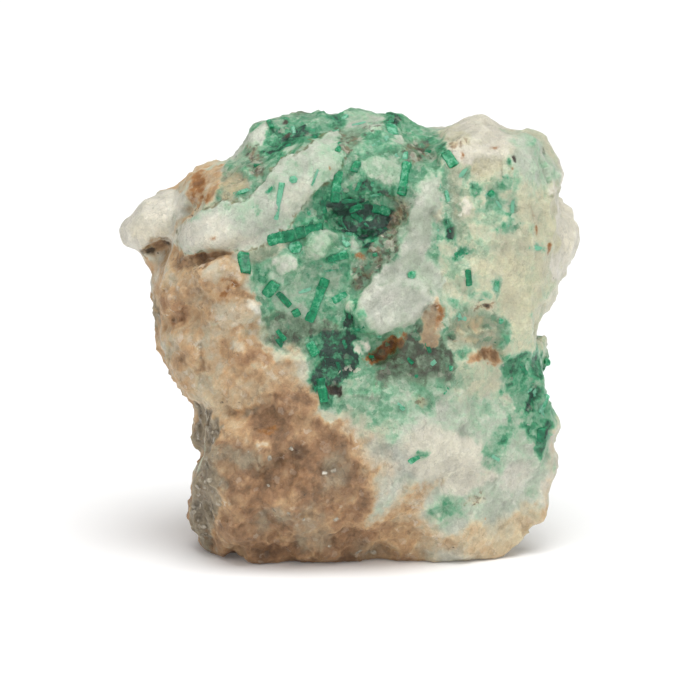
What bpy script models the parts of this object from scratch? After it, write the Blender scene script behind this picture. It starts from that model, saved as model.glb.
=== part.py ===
"""Emerald in matrix: one lump of milky quartz and feldspar with iron-stained rock and mica
on its lower left, and green emerald prisms set in its broken front face.

The stone frame is +Z up with the origin under the middle of the stone. Positions on the broken
face are read from the front, slightly from above: u runs right, v runs up and w runs away from
the reader, all from the point MIDDLE."""

import math

import bmesh
import bpy
import numpy as np
from mathutils import Matrix, Vector, noise
from mathutils.bvhtree import BVHTree

MM = 0.001
GOLDEN_ANGLE = math.radians(137.5)

# How the face is read: a point this far away, this many degrees above the horizon.
SIGHT_LENGTH = 500.0
SIGHT_TILT = math.radians(12.0)
MIDDLE = Vector((0.0, -1.0, 21.3))
RIGHT = Vector((1.0, 0.0, 0.0))
UP = Vector((0.0, math.sin(SIGHT_TILT), math.cos(SIGHT_TILT)))
AWAY = Vector((0.0, math.cos(SIGHT_TILT), -math.sin(SIGHT_TILT)))

# Sizes of the mesh itself, in millimetres
RING_POINTS = 150
SKIN_STEP = 0.6
MATRIX_TRIANGLES = 7400
SOCKET_GAP = 0.3
CHAMFER_SHARE = 0.22
CURVE_STEPS = 12

# The outline of the main mass (u, v), clockwise from under the nub on the left
OUTLINE = [
    (-20.8, 8.4), (-19.6, 12.0), (-18.9, 15.2), (-17.6, 17.9),
    (-16.2, 19.3), (-14.2, 20.2), (-12.6, 21.0), (-11.9, 22.3), (-10.2, 23.9), (-8.0, 24.6),
    (-5.2, 25.1), (-1.6, 25.4), (3.3, 25.2), (5.2, 25.1), (7.0, 24.2), (8.1, 23.9), (8.8, 23.2),
    (9.5, 23.9), (11.0, 24.0), (13.0, 24.7), (14.0, 25.3), (15.3, 24.5), (16.9, 23.5),
    (18.1, 23.0), (19.4, 23.6), (20.8, 23.0), (22.1, 20.6), (22.5, 18.6), (22.4, 15.0),
    (22.2, 11.0), (22.0, 7.6), (21.6, 5.5), (20.4, 3.2), (20.2, 2.0), (20.5, 0.0), (20.3, -1.6),
    (21.0, -3.8), (21.1, -5.6), (22.2, -7.6), (22.6, -10.2), (22.6, -12.4), (21.7, -15.0),
    (20.4, -17.9), (18.0, -20.6), (14.4, -23.5), (0.0, -24.5), (-11.0, -24.0), (-15.2, -22.6),
    (-16.5, -20.0), (-17.4, -16.6), (-16.8, -13.8), (-15.7, -11.2), (-15.8, -9.6),
    (-16.1, -8.4), (-15.9, -6.6), (-17.2, -5.2), (-19.1, -2.6), (-20.5, -0.6), (-21.2, 1.8),
    (-21.6, 4.2), (-21.2, 7.0),
]

# Slices of the main mass from front to back: (w, share of the outline, shift in u, shift in v)
SLICES = [
    (-11.8, 0.50, -0.5, 1.0),
    (-11.2, 0.70, -0.4, 0.8),
    (-9.8, 0.84, -0.2, 0.4),
    (-7.0, 0.940, 0.0, 0.1),
    (-3.6, 0.990, 0.0, 0.0),
    (0.0, 1.000, 0.0, 0.0),
    (3.8, 0.985, 0.1, 0.0),
    (7.2, 0.935, 0.3, -0.4),
    (10.2, 0.850, 0.5, -0.9),
    (12.2, 0.700, 0.8, -1.4),
    (13.2, 0.480, 1.0, -1.8),
]
SLICE_CENTRE = (1.0, 1.5)

# Chipped masses joined to it: centre (u, v, w), half sizes, turn in the face plane in degrees
LUMPS = {
    "nub": ((-20.5, 13.2, -1.0), (4.9, 3.4, 4.9), 8.0),
    "nub_root": ((-19.8, 11.9, -0.6), (2.8, 3.6, 4.6), -38.0),
    "right_ledge": ((20.4, 12.6, 2.6), (4.5, 5.8, 6.4), 4.0),
    "belly": ((-13.2, 1.6, -5.4), (6.9, 5.6, 6.6), -34.0),
    "lower_left_foot": ((-10.6, -17.2, -2.5), (5.4, 6.6, 7.2), 0.0),
    "lower_right_foot": ((14.4, -12.0, -1.0), (8.1, 9.6, 8.4), 8.0),
}

# Chips broken off each of those masses: how many, and how near its middle, as a share of the
# way to its surface
CHIPS = 13
CHIP_DEPTHS = (0.80, 0.93)
CHIP_SEED = 41

# Broken faces: a plane each, as a direction (u, v, w) facing out and its distance from MIDDLE
BREAKS = [
    ((0.62, 0.10, 0.78), 19.6),
    ((-0.66, 0.22, 0.72), 18.6),
    ((0.05, 0.55, 0.83), 17.6),
    ((-0.20, -0.45, 0.87), 18.4),
    ((0.62, -0.38, 0.68), 19.6),
    ((-0.84, -0.34, -0.42), 20.6),
    ((-0.10, 0.80, -0.59), 23.0),
    ((0.86, 0.30, -0.40), 26.2),
    ((0.05, -0.68, -0.73), 18.6),
    ((0.55, -0.20, -0.81), 15.6),
]

# Relief of the front face: (u, v), half length, half width, turn in degrees, height, edge width.
# A negative height is a hollow. The edge width is a share of the half sizes.
FACE_RELIEF = {
    "pale_slab": ((-9.6, 16.8), 9.6, 3.0, 31.0, 1.3, 0.16),
    "band_above_slab": ((-7.0, 22.0), 7.5, 1.5, 16.0, -0.5, 0.6),
    "stained_knob": ((-15.6, 17.9), 2.4, 1.5, 40.0, 0.9, 0.6),
    "nub_crevice": ((-17.4, 14.4), 3.4, 0.8, 50.0, -1.2, 0.6),
    "pit_under_nub": ((-20.4, 10.8), 1.4, 1.0, 10.0, -1.6, 0.5),
    "slab_undercut": ((-15.6, 10.2), 3.6, 0.8, -4.0, -1.2, 0.6),
    "peach_knob": ((-13.6, 7.6), 2.7, 2.1, -30.0, 1.3, 0.4),
    "rusty_pit": ((-18.5, 3.6), 2.1, 1.5, 5.0, -1.5, 0.4),
    "pale_tongue": ((-12.4, 4.2), 3.4, 1.0, -8.0, 0.7, 0.4),
    "green_hollow": ((-5.5, 3.6), 5.0, 5.4, 0.0, -0.7, 0.4),
    "dark_hollow": ((1.8, 13.8), 4.1, 2.3, 8.0, -2.2, 0.25),
    "white_grain_upper": ((-3.2, 11.2), 2.1, 1.1, 42.0, 0.8, 0.25),
    "white_grain_lower": ((-7.0, 9.4), 1.9, 1.2, -20.0, 0.7, 0.3),
    "white_block": ((4.5, 4.9), 4.4, 2.6, 18.0, 1.3, 0.2),
    "pale_band": ((6.9, 14.2), 5.8, 1.7, 72.0, 0.9, 0.35),
    "red_brown_knob": ((9.2, 3.4), 2.0, 1.4, 70.0, 0.6, 0.5),
    "rust_notch": ((3.6, 0.0), 1.7, 1.2, 35.0, -1.6, 0.4),
    "dark_notch": ((15.0, -0.8), 2.0, 1.2, -35.0, -1.3, 0.4),
    "top_notch": ((8.8, 22.6), 2.6, 1.0, 80.0, -1.6, 0.6),
    "cream_knob": ((12.6, 22.0), 3.2, 2.4, 20.0, 0.7, 0.5),
    "pale_lobe": ((19.0, 19.0), 3.8, 3.2, -30.0, 0.8, 0.4),
    "belly_crease": ((-12.0, -6.9), 4.8, 0.8, -8.0, -1.1, 0.6),
    "dent_in_foot": ((-8.6, -14.0), 2.6, 1.6, 30.0, -0.6, 0.6),
    "foot_fold": ((-5.6, -17.6), 4.6, 1.9, 75.0, 0.7, 0.5),
    "hidden_ridge": ((6.6, -8.4), 6.5, 2.6, -30.0, 1.0, 0.5),
    "hidden_hollow": ((9.0, -15.0), 4.2, 3.0, 12.0, -1.0, 0.5),
}

# Relief of the back: (x, z), half length, half width, turn in degrees, height, edge width
BACK_RELIEF = {
    "upper_shelf": ((7.0, 33.0), 11.0, 6.5, -16.0, 1.5, 0.12),
    "left_shelf": ((-11.0, 25.0), 7.5, 5.5, 34.0, 1.3, 0.14),
    "middle_step": ((3.0, 21.0), 8.5, 3.4, -28.0, -0.9, 0.25),
    "round_pit": ((11.5, 15.5), 3.0, 2.2, 20.0, -1.4, 0.4),
    "low_swelling": ((-4.0, 10.5), 8.0, 4.6, 12.0, 1.1, 0.35),
}

# How square a relief patch is: 2 gives an ellipse, more gives straighter sides
PATCH_SQUARENESS = 2.6

# Relief fades out where the skin turns away: from full at the second share to none at the first
FACING_RANGE = (0.1, 0.6)

# Notches in the underside, seen from the front as low arches: x, half width, height
ARCHES = [(-12.2, 1.7, 0.9), (-6.2, 1.0, 0.5), (3.0, 2.0, 0.8)]
ARCH_FADE = 2.5
SKIN_BELOW_BASE = 1.2

# Small broken facets over the whole stone: (facet size, height)
FACETS = [(8.5, 1.1), (4.2, 0.55)]

# Roughness between them: (lump size, height)
ROUGHNESS = [(6.0, 0.30), (2.2, 0.16)]

# Emerald prisms: both ends of the axis on the face as (u, v, how far it stands out of the rock),
# width across the flats, and the turn of the hexagon about the axis in degrees. A crystal whose
# end goes far in shows the reader its six-sided end.
EMERALDS = {
    "emerald_long_rod": ((-8.9, 11.7, 0.15), (-2.9, 13.3, 0.0), 1.34, 12.0),
    "emerald_pale_end": ((-5.9, 11.1, 0.35), (-5.6, 10.6, -1.9), 1.36, 20.0),
    "emerald_tall_rod": ((-2.6, 7.7, 0.1), (-4.4, 3.0, 0.0), 1.02, 8.0),
    "emerald_banded_rod": ((-1.2, 19.2, 0.1), (-1.7, 15.8, 0.05), 0.96, 20.0),
    "emerald_bright_prism": ((-7.9, 7.4, 0.1), (-9.1, 5.9, 0.2), 1.24, 5.0),
    "emerald_edge_prism": ((-11.5, 10.4, 0.25), (-11.3, 8.1, 0.15), 1.30, 15.0),
    "emerald_thin_rod": ((-7.9, 6.3, 0.0), (-6.4, 4.7, 0.05), 0.70, 0.0),
    "emerald_rod_stump": ((-6.0, 4.4, 0.15), (-5.6, 3.6, 0.1), 0.86, 24.0),
    "emerald_slab_rod": ((-7.3, 18.0, 0.05), (-8.0, 14.0, 0.05), 0.60, 10.0),
    "emerald_slab_end": ((-6.1, 18.3, 0.15), (-6.0, 18.2, -1.5), 0.84, 14.0),
    "emerald_hollow_block": ((2.4, 15.5, 0.25), (4.6, 15.0, 0.25), 1.60, 25.0),
    "emerald_hollow_rod": ((-0.3, 15.2, 0.15), (1.5, 15.8, 0.1), 1.00, 0.0),
    "emerald_hollow_stub": ((-1.0, 12.3, 0.15), (0.3, 12.1, 0.15), 0.90, 18.0),
    "emerald_fan_rod": ((-2.5, 9.8, 0.1), (-0.2, 10.3, 0.1), 0.90, 9.0),
    "emerald_lower_rod": ((-1.9, 5.2, 0.1), (-0.3, 5.9, 0.1), 0.90, 14.0),
    "emerald_crest_block": ((4.4, 24.1, 0.1), (4.6, 22.9, 0.1), 1.36, 30.0),
    "emerald_dark_stub": ((0.4, 19.0, 0.15), (1.0, 20.2, 0.1), 1.10, 6.0),
    "emerald_upright_rod": ((6.1, 20.2, 0.1), (5.5, 16.6, 0.1), 0.96, 16.0),
    "emerald_round_end": ((6.6, 8.0, 0.25), (6.5, 7.9, -1.5), 0.84, 8.0),
    "emerald_shoulder_prism": ((10.2, 21.3, 0.1), (11.2, 19.7, 0.1), 1.20, 22.0),
    "emerald_right_rod": ((12.6, 8.7, 0.1), (12.8, 6.9, 0.1), 0.80, 12.0),
    "emerald_flank_prism": ((20.5, -8.3, 0.2), (20.3, -9.9, 0.15), 1.30, 18.0),
    "emerald_root_rod": ((-3.2, -3.0, 0.15), (-2.8, -5.6, 0.1), 1.04, 11.0),
    "emerald_root_stub": ((-4.4, 0.8, 0.1), (-3.6, -0.6, 0.1), 1.00, 3.0),
}

MATERIALS = {
    "matrix": ((0.60, 0.55, 0.43), 0.62),
    "emerald": ((0.03, 0.33, 0.17), 0.28),
}


def clear_scene():
    """Removes the objects that a new scene starts with."""
    for obj in list(bpy.data.objects):
        bpy.data.objects.remove(obj, do_unlink=True)


def material(name):
    """A plain Principled finish with the slot's colour and roughness."""
    colour, roughness = MATERIALS[name]
    made = bpy.data.materials.new(name)
    made.use_nodes = True
    shader = made.node_tree.nodes["Principled BSDF"]
    shader.inputs["Base Color"].default_value = (*colour, 1.0)
    shader.inputs["Roughness"].default_value = roughness
    made.diffuse_color = (*colour, 1.0)
    return made


def new_object(name, mesh, finish=None):
    """Links the mesh to the scene as one named object."""
    obj = bpy.data.objects.new(name, mesh)
    bpy.context.scene.collection.objects.link(obj)
    if finish:
        mesh.materials.clear()
        mesh.materials.append(finish)
    return obj


def on_face(u, v, w):
    """The point of the stone frame, in millimetres, that a face position stands for."""
    return MIDDLE + RIGHT * u + UP * v + AWAY * w


def face_positions(points):
    """(u, v, w) of an array of points in millimetres, with u and v as the sight lines show them."""
    offset = points - np.array(MIDDLE)
    depth = offset @ np.array(AWAY)
    spread = SIGHT_LENGTH / (SIGHT_LENGTH + depth)
    return offset @ np.array(RIGHT) * spread, offset @ np.array(UP) * spread, depth


def closed_curve(points, count):
    """A closed Catmull-Rom curve through the points, as count points at even steps."""
    corners = np.array(points)
    before, after = np.roll(corners, 1, 0), np.roll(corners, -1, 0)
    beyond = np.roll(corners, -2, 0)
    fine = []
    for t in np.linspace(0.0, 1.0, CURVE_STEPS, endpoint=False):
        fine.append(
            0.5 * (2 * corners + (after - before) * t
                   + (2 * before - 5 * corners + 4 * after - beyond) * t**2
                   + (3 * corners - before - 3 * after + beyond) * t**3)
        )
    line = np.stack(fine, 1).reshape(-1, 2)
    line = np.vstack([line, line[:1]])
    run = np.concatenate([[0], np.cumsum(np.linalg.norm(np.diff(line, axis=0), axis=1))])
    steps = np.linspace(0, run[-1], count, endpoint=False)
    return np.stack([np.interp(steps, run, line[:, i]) for i in (0, 1)], 1)


def main_mass():
    """The outline lofted through its slices."""
    outline = closed_curve(OUTLINE, RING_POINTS)
    centre = np.array(SLICE_CENTRE)
    mass = bmesh.new()
    rings = []
    for w, share, shift_u, shift_v in SLICES:
        ring = centre + (outline - centre) * share + (shift_u, shift_v)
        rings.append([mass.verts.new(on_face(u, v, w)) for u, v in ring])
    for near, far in zip(rings, rings[1:]):
        for i in range(RING_POINTS):
            j = (i + 1) % RING_POINTS
            mass.faces.new((near[i], near[j], far[j], far[i]))
    mass.faces.new(rings[0][::-1])
    mass.faces.new(rings[-1])
    return mass


def lump(centre, half_sizes, turn):
    """One mass with chipped sides: an ellipsoid turned in the face plane and cut by planes."""
    face_axes = Matrix((RIGHT, UP, AWAY)).transposed().to_4x4()
    place = (
        Matrix.Translation(on_face(*centre)) @ face_axes
        @ Matrix.Rotation(math.radians(turn), 4, "Z") @ Matrix.Diagonal((*half_sizes, 1.0))
    )
    mass = bmesh.new()
    bmesh.ops.create_icosphere(mass, subdivisions=4, radius=1.0)
    chance = np.random.default_rng(CHIP_SEED + round(abs(centre[0]) * 10))
    for chip in range(CHIPS):
        height = 1 - 2 * (chip + 0.5) / CHIPS
        around = chip * GOLDEN_ANGLE + chance.uniform(-0.3, 0.3)
        ring = math.sqrt(1 - height * height)
        facing = Vector((ring * math.cos(around), ring * math.sin(around), height))
        cut_off(mass, facing * chance.uniform(*CHIP_DEPTHS), facing)
    mass.transform(place)
    return mass


def cut_off(mass, point, facing):
    """Removes what lies past the plane through the point, and closes the mass there."""
    whole = mass.verts[:] + mass.edges[:] + mass.faces[:]
    cut = bmesh.ops.bisect_plane(
        mass, geom=whole, dist=1e-6, plane_co=point, plane_no=facing, clear_outer=True,
    )
    rim = [g for g in cut["geom_cut"] if isinstance(g, bmesh.types.BMEdge)]
    bmesh.ops.edgenet_fill(mass, edges=rim)


def broken(mass):
    """The mass with every broken face of BREAKS cut on it."""
    for direction, distance in BREAKS:
        facing = (RIGHT * direction[0] + UP * direction[1] + AWAY * direction[2]).normalized()
        cut_off(mass, MIDDLE + facing * distance, facing)
    bmesh.ops.recalc_face_normals(mass, faces=mass.faces)
    return mass


def joined(masses):
    """Several masses as one mesh, in metres."""
    whole = bmesh.new()
    for mass in masses:
        part_mesh = bpy.data.meshes.new("mass")
        mass.to_mesh(part_mesh)
        mass.free()
        whole.from_mesh(part_mesh)
        bpy.data.meshes.remove(part_mesh)
    bmesh.ops.scale(whole, vec=(MM, MM, MM), verts=whole.verts)
    mesh = bpy.data.meshes.new("masses")
    whole.to_mesh(mesh)
    whole.free()
    return mesh


def one_skin(mesh):
    """Overlapping masses as one closed skin of even squares: a voxel remesh."""
    guide = new_object("skin_guide", mesh)
    remesh = guide.modifiers.new("even_squares", "REMESH")
    remesh.mode = "VOXEL"
    remesh.voxel_size = SKIN_STEP * MM
    smooth = guide.modifiers.new("worn_edges", "SMOOTH")
    smooth.factor = 0.5
    smooth.iterations = 2
    return baked(guide)


def baked(obj):
    """The object's mesh with its modifiers applied. The object itself is removed."""
    graph = bpy.context.evaluated_depsgraph_get()
    mesh = bpy.data.meshes.new_from_object(obj.evaluated_get(graph))
    bpy.data.objects.remove(obj, do_unlink=True)
    return mesh


def patch_height(along, across, patch):
    """Height of one relief patch at positions given as two arrays."""
    (u, v), half_length, half_width, turn, height, edge = patch
    c, s = math.cos(math.radians(turn)), math.sin(math.radians(turn))
    a = ((along - u) * c + (across - v) * s) / half_length
    b = ((across - v) * c - (along - u) * s) / half_width
    power = PATCH_SQUARENESS
    reach = (np.abs(a) ** power + np.abs(b) ** power) ** (1 / power)
    t = np.clip((1 + edge - reach) / (2 * edge), 0, 1)
    return height * t * t * (3 - 2 * t)


def facing_share(normals, direction):
    """1 where the skin faces the direction, falling to 0 where it turns side on."""
    least, full = FACING_RANGE
    return np.clip((normals @ np.array(direction) - least) / (full - least), 0, 1)


def facet_height(point):
    """Height of the small broken facets: each cell of a Voronoi pattern is a tilted plane."""
    height = 0.0
    for size, amount in FACETS:
        place = point / size
        seed = noise.voronoi(place)[1][0]
        tilt = noise.cell_vector(seed * 9.0 + Vector((0.5, 0.5, 0.5))) * 2 - Vector((1, 1, 1))
        height += amount * 0.5 * (place - seed).dot(tilt)
    return height


def rough_height(point):
    """Height of the noise layers of ROUGHNESS."""
    height = 0.0
    for layer, (size, amount) in enumerate(ROUGHNESS):
        height += amount * noise.noise(point / size + Vector((17.0 * layer, 5.0, 31.0)))
    return height


def carve(mesh):
    """Raises and sinks the skin: the relief of the front and the back, arches and roughness."""
    count = len(mesh.vertices)
    points = np.empty(count * 3)
    mesh.vertices.foreach_get("co", points)
    points = points.reshape(-1, 3) / MM
    normals = np.empty(count * 3)
    mesh.vertex_normals.foreach_get("vector", normals)
    normals = normals.reshape(-1, 3)

    u, v, _ = face_positions(points)
    front = facing_share(normals, -AWAY)
    relief = sum(patch_height(u, v, patch) for patch in FACE_RELIEF.values())
    back = facing_share(normals, (0, 1, 0))
    back_relief = sum(
        patch_height(points[:, 0], points[:, 2], patch) for patch in BACK_RELIEF.values()
    )
    moved = points - np.array(AWAY) * (relief * front)[:, None]
    moved[:, 1] += back_relief * back
    from_middle = map(Vector, points - np.array(MIDDLE))
    texture = [facet_height(place) + rough_height(place) for place in from_middle]
    moved += normals * np.array(texture)[:, None]

    low = np.clip(1 - points[:, 2] / ARCH_FADE, 0, 1)
    for x, half_width, height in ARCHES:
        arch = np.clip(1 - ((points[:, 0] - x) / half_width) ** 2, 0, 1)
        moved[:, 2] += (height + SKIN_BELOW_BASE) * arch * low
    mesh.vertices.foreach_set("co", (moved * MM).ravel())
    mesh.update()


def thinned(mesh):
    """The carved skin brought down to MATRIX_TRIANGLES triangles."""
    obj = new_object("thinning_guide", mesh)
    triangulate = obj.modifiers.new("triangles", "TRIANGULATE")
    triangulate.quad_method = "BEAUTY"
    thin = obj.modifiers.new("fewer_triangles", "DECIMATE")
    thin.ratio = MATRIX_TRIANGLES / (2 * len(mesh.polygons))
    return baked(obj)


def cut_base(mesh):
    """Cuts the underside flat at z = 0, where the stone rests."""
    stone = bmesh.new()
    stone.from_mesh(mesh)
    cut_off(stone, (0, 0, 0), (0, 0, -1))
    bmesh.ops.triangulate(stone, faces=[f for f in stone.faces if len(f.verts) > 3])
    bmesh.ops.recalc_face_normals(stone, faces=stone.faces)
    stone.to_mesh(mesh)
    stone.free()


def make_matrix():
    """The rock as one object, before the crystals' sockets are cut."""
    masses = [main_mass()] + [lump(*shape) for shape in LUMPS.values()]
    mesh = one_skin(joined([broken(mass) for mass in masses]))
    carve(mesh)
    mesh = thinned(mesh)
    cut_base(mesh)
    mesh.name = "matrix"
    return new_object("matrix", mesh, material("matrix"))


def sight_hit(rock, u, v):
    """Where the sight line through face position (u, v) meets the rock, in metres."""
    reader = on_face(0, 0, -SIGHT_LENGTH) * MM
    target = on_face(u, v, 0) * MM
    hit = rock.ray_cast(reader, (target - reader).normalized())[0]
    if hit is None:
        raise ValueError(f"face position {u}, {v} misses the stone")
    return hit


def axis_on_rock(rock, start, end):
    """Both ends of a crystal's axis, in metres: at the rock plus what they stand out. One that
    lies on the face moves forward where the rock under its middle is higher than its ends."""
    ends = [sight_hit(rock, u, v) - AWAY * out * MM for u, v, out in (start, end)]
    lies_on_face = min(start[2], end[2]) >= 0
    if lies_on_face:
        middle = sight_hit(rock, (start[0] + end[0]) / 2, (start[1] + end[1]) / 2)
        buried = AWAY.dot((ends[0] + ends[1]) / 2 - middle)
        ends = [place - AWAY * max(buried, 0) for place in ends]
    return ends


def prism(name, start, end, width, turn, grow=0.0):
    """A six-sided prism along the line from start to end, in metres, with its ends chamfered.
    Its origin is its middle."""
    axis = end - start
    radius = width * MM / math.sqrt(3) + grow
    length = axis.length + 2 * grow
    shape = bmesh.new()
    bmesh.ops.create_cone(
        shape, cap_ends=True, segments=6, radius1=radius, radius2=radius, depth=length,
        matrix=Matrix.Rotation(math.radians(turn), 4, "Z"),
    )
    if not grow:
        rims = [e for e in shape.edges if abs(e.verts[0].co.z - e.verts[1].co.z) < length / 2]
        bevel = radius * CHAMFER_SHARE
        bmesh.ops.bevel(shape, geom=rims, offset=bevel, segments=1, affect="EDGES")
    mesh = bpy.data.meshes.new(name)
    shape.to_mesh(mesh)
    shape.free()
    obj = new_object(name, mesh)
    obj.rotation_mode = "QUATERNION"
    obj.rotation_quaternion = axis.to_track_quat("Z", "Y")
    obj.location = (start + end) / 2
    return obj


def cut_socket(matrix, cutter):
    """Takes the cutter's shape out of the matrix, as a Boolean that stays on the object."""
    cutter.hide_render = True
    cutter.display_type = "WIRE"
    socket = matrix.modifiers.new("socket", "BOOLEAN")
    socket.operation = "DIFFERENCE"
    socket.solver = "EXACT"
    socket.object = cutter


def set_emeralds(matrix):
    """Places each emerald prism on the face and cuts its socket in the matrix."""
    reading = bmesh.new()
    reading.from_mesh(matrix.data)
    rock = BVHTree.FromBMesh(reading)
    finish = material("emerald")
    for name, (start, end, width, turn) in EMERALDS.items():
        ends = axis_on_rock(rock, start, end)
        crystal = prism(name, *ends, width, turn)
        crystal.data.materials.append(finish)
        cut_socket(matrix, prism(name + "_socket", *ends, width, turn, grow=SOCKET_GAP * MM))
    reading.free()


def build():
    """The whole object."""
    clear_scene()
    matrix = make_matrix()
    set_emeralds(matrix)


build()
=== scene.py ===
# %% [markdown]
# # Emerald in matrix
# This lesson dresses one mineral specimen: a lump of milky quartz, stained by iron on its lower
# left and grown through with green emerald prisms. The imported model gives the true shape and
# place of everything; here each surface gets the look of its mineral. Lengths are millimetres
# until a mesh is made, because a stone of 5 cm is easier to think about that way.

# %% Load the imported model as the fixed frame
import math

import bmesh
import bpy
import numpy as np
from mathutils import Euler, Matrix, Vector, noise
from mathutils.bvhtree import BVHTree


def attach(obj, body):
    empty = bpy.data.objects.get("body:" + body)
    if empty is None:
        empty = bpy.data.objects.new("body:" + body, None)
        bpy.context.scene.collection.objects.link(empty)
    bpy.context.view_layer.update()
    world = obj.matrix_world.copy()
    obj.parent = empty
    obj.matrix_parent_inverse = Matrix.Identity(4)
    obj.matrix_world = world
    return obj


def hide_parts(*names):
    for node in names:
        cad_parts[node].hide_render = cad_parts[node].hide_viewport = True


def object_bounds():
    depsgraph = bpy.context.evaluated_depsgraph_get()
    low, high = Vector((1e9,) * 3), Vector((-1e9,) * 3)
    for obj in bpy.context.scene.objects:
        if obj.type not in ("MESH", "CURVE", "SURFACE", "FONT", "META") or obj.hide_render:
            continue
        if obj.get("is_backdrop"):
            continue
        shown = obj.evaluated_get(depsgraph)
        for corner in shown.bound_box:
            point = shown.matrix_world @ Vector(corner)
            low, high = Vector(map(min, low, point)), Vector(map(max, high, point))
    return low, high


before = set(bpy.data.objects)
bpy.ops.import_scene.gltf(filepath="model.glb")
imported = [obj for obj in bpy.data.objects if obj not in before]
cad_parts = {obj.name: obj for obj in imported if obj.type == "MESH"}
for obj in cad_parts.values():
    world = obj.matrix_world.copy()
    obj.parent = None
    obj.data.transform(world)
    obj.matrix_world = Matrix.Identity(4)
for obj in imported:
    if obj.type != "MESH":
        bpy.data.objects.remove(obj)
cad_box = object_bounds()
MM = 0.001
crystal_names = sorted(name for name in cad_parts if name.startswith("emerald"))
print("frame:", len(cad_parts), "nodes,", len(crystal_names), "of them crystals")

# %% [markdown]
# ## Reading the broken face
# The reference picture looks at the face from half a metre away and 12 degrees above level. A
# place on the face can be written as a picture position: x to the right and y down, in pixels.
# Two small functions turn that into millimetres on the face, and points of the stone into the
# same face coordinates, so a mineral patch can be put where the picture shows it.

# %% Face coordinates
SIGHT_LENGTH = 500.0
SIGHT_TILT = math.radians(12.0)
MIDDLE = np.array((0.0, -1.0, 21.3))
RIGHT = np.array((1.0, 0.0, 0.0))
UP = np.array((0.0, math.sin(SIGHT_TILT), math.cos(SIGHT_TILT)))
AWAY = np.array((0.0, math.cos(SIGHT_TILT), -math.sin(SIGHT_TILT)))
PICTURE_MIDDLE = 350.0
PICTURE_WIDTH_MM = 75.25
MM_PER_PIXEL = PICTURE_WIDTH_MM / (2 * PICTURE_MIDDLE)


def on_face(x, y):
    """Face position (u, v) in millimetres of a picture position in pixels."""
    return np.array((x - PICTURE_MIDDLE, PICTURE_MIDDLE - y)) * MM_PER_PIXEL


def face_positions(points):
    """Face positions u and v of an array of points, as the sight lines show them."""
    offset = points - MIDDLE
    spread = SIGHT_LENGTH / (SIGHT_LENGTH + offset @ AWAY)
    return offset @ RIGHT * spread, offset @ UP * spread


print("one pixel is", round(MM_PER_PIXEL, 4), "mm on the face")

# %% [markdown]
# ## Helpers for meshes and materials
# A few short helpers are used all through. They make an object that rides on the stone, turn an
# sRGB hex colour into the linear values that a shader wants, add a node with its settings and
# links, and start a material whose patterns are measured in millimetres.

# %% Object, colour and node helpers
def new_piece(name, mesh, finish):
    """Makes a shown piece from a mesh in metres. It rides on the one body that the stone is."""
    piece = bpy.data.objects.new(name, mesh)
    bpy.context.scene.collection.objects.link(piece)
    mesh.materials.clear()
    mesh.materials.append(finish)
    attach(piece, "root")
    return piece


def mesh_from(name, points, faces):
    """A mesh from points in millimetres."""
    mesh = bpy.data.meshes.new(name)
    mesh.from_pydata([tuple(p) for p in np.asarray(points) * MM], [], faces)
    mesh.update()
    return mesh


def linear(hex_colour):
    """Linear RGBA of an sRGB colour written as '#rrggbb'."""
    values = [int(hex_colour[i:i + 2], 16) / 255 for i in (1, 3, 5)]
    lit = [v / 12.92 if v <= 0.04045 else ((v + 0.055) / 1.055) ** 2.4 for v in values]
    return (*lit, 1.0)


def set_inputs(tree, node, inputs):
    """Gives each input its value, or links it to the socket given in the value's place."""
    for key, value in inputs.items():
        if isinstance(value, bpy.types.NodeSocket):
            tree.links.new(value, node.inputs[key])
        else:
            node.inputs[key].default_value = value


def add_node(tree, kind, inputs=None, stops=(), out=0, **settings):
    """Adds a shader node and gives back one output of it. Stops are the colours of a ramp."""
    node = tree.nodes.new("ShaderNode" + kind)
    for name, value in settings.items():
        setattr(node, name, value)
    set_inputs(tree, node, inputs or {})
    if stops:
        elements = node.color_ramp.elements
        while len(elements) < len(stops):
            elements.new(1.0)
        for element, (position, colour) in zip(elements, stops):
            element.position = position
            element.color = linear(colour)
    return node.outputs[out]


def new_finish(name):
    """A new material with its node tree, its shader, and places on the stone in millimetres."""
    finish = bpy.data.materials.new(name)
    finish.use_nodes = True
    tree = finish.node_tree
    place = add_node(tree, "TexCoord", out="Object")
    in_mm = add_node(tree, "VectorMath", {0: place, 1: (1 / MM,) * 3}, operation="MULTIPLY")
    return finish, tree, tree.nodes["Principled BSDF"], in_mm


# %% [markdown]
# ## The rock's skin
# The rock is one solid, so it gets one skin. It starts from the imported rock, whose sockets are
# filled with plugs, because real quartz grows tight around a crystal and shows no slot. A voxel
# remesh then makes one even net of quads. The face that the reader sees is divided once more, so
# that grains of 0.4 mm fit in its mesh, while the back stays light.

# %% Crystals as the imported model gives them
NEARLY_SQUARE = 0.05
NEARLY_ALONG = 0.8


class Crystal:
    """One packed prism: its middle, axis, one side's direction, length and width over flats."""

    def __init__(self, name):
        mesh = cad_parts[name].data
        mesh.calc_loop_triangles()
        points = np.array([v.co for v in mesh.vertices]) / MM
        normals = np.array([t.normal for t in mesh.loop_triangles])
        areas = np.array([t.area for t in mesh.loop_triangles])
        spread = (normals * areas[:, None]).T @ normals
        sizes, directions = np.linalg.eigh(spread)
        odd_one = 0 if sizes[1] - sizes[0] > sizes[2] - sizes[1] else 2
        self.name = name
        self.axis = directions[:, odd_one]
        if self.axis @ UP < 0:
            self.axis = -self.axis
        side_on = np.abs(normals @ self.axis) < NEARLY_SQUARE
        self.side = normals[np.argmax(areas * side_on)]
        along = points @ self.axis
        across = points @ self.side
        self.length = along.max() - along.min()
        self.width = across.max() - across.min()
        self.centre = points.mean(0)
        self.centre += self.axis * ((along.max() + along.min()) / 2 - self.centre @ self.axis)
        self.goes_in = abs(self.axis @ AWAY) > NEARLY_ALONG


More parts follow.
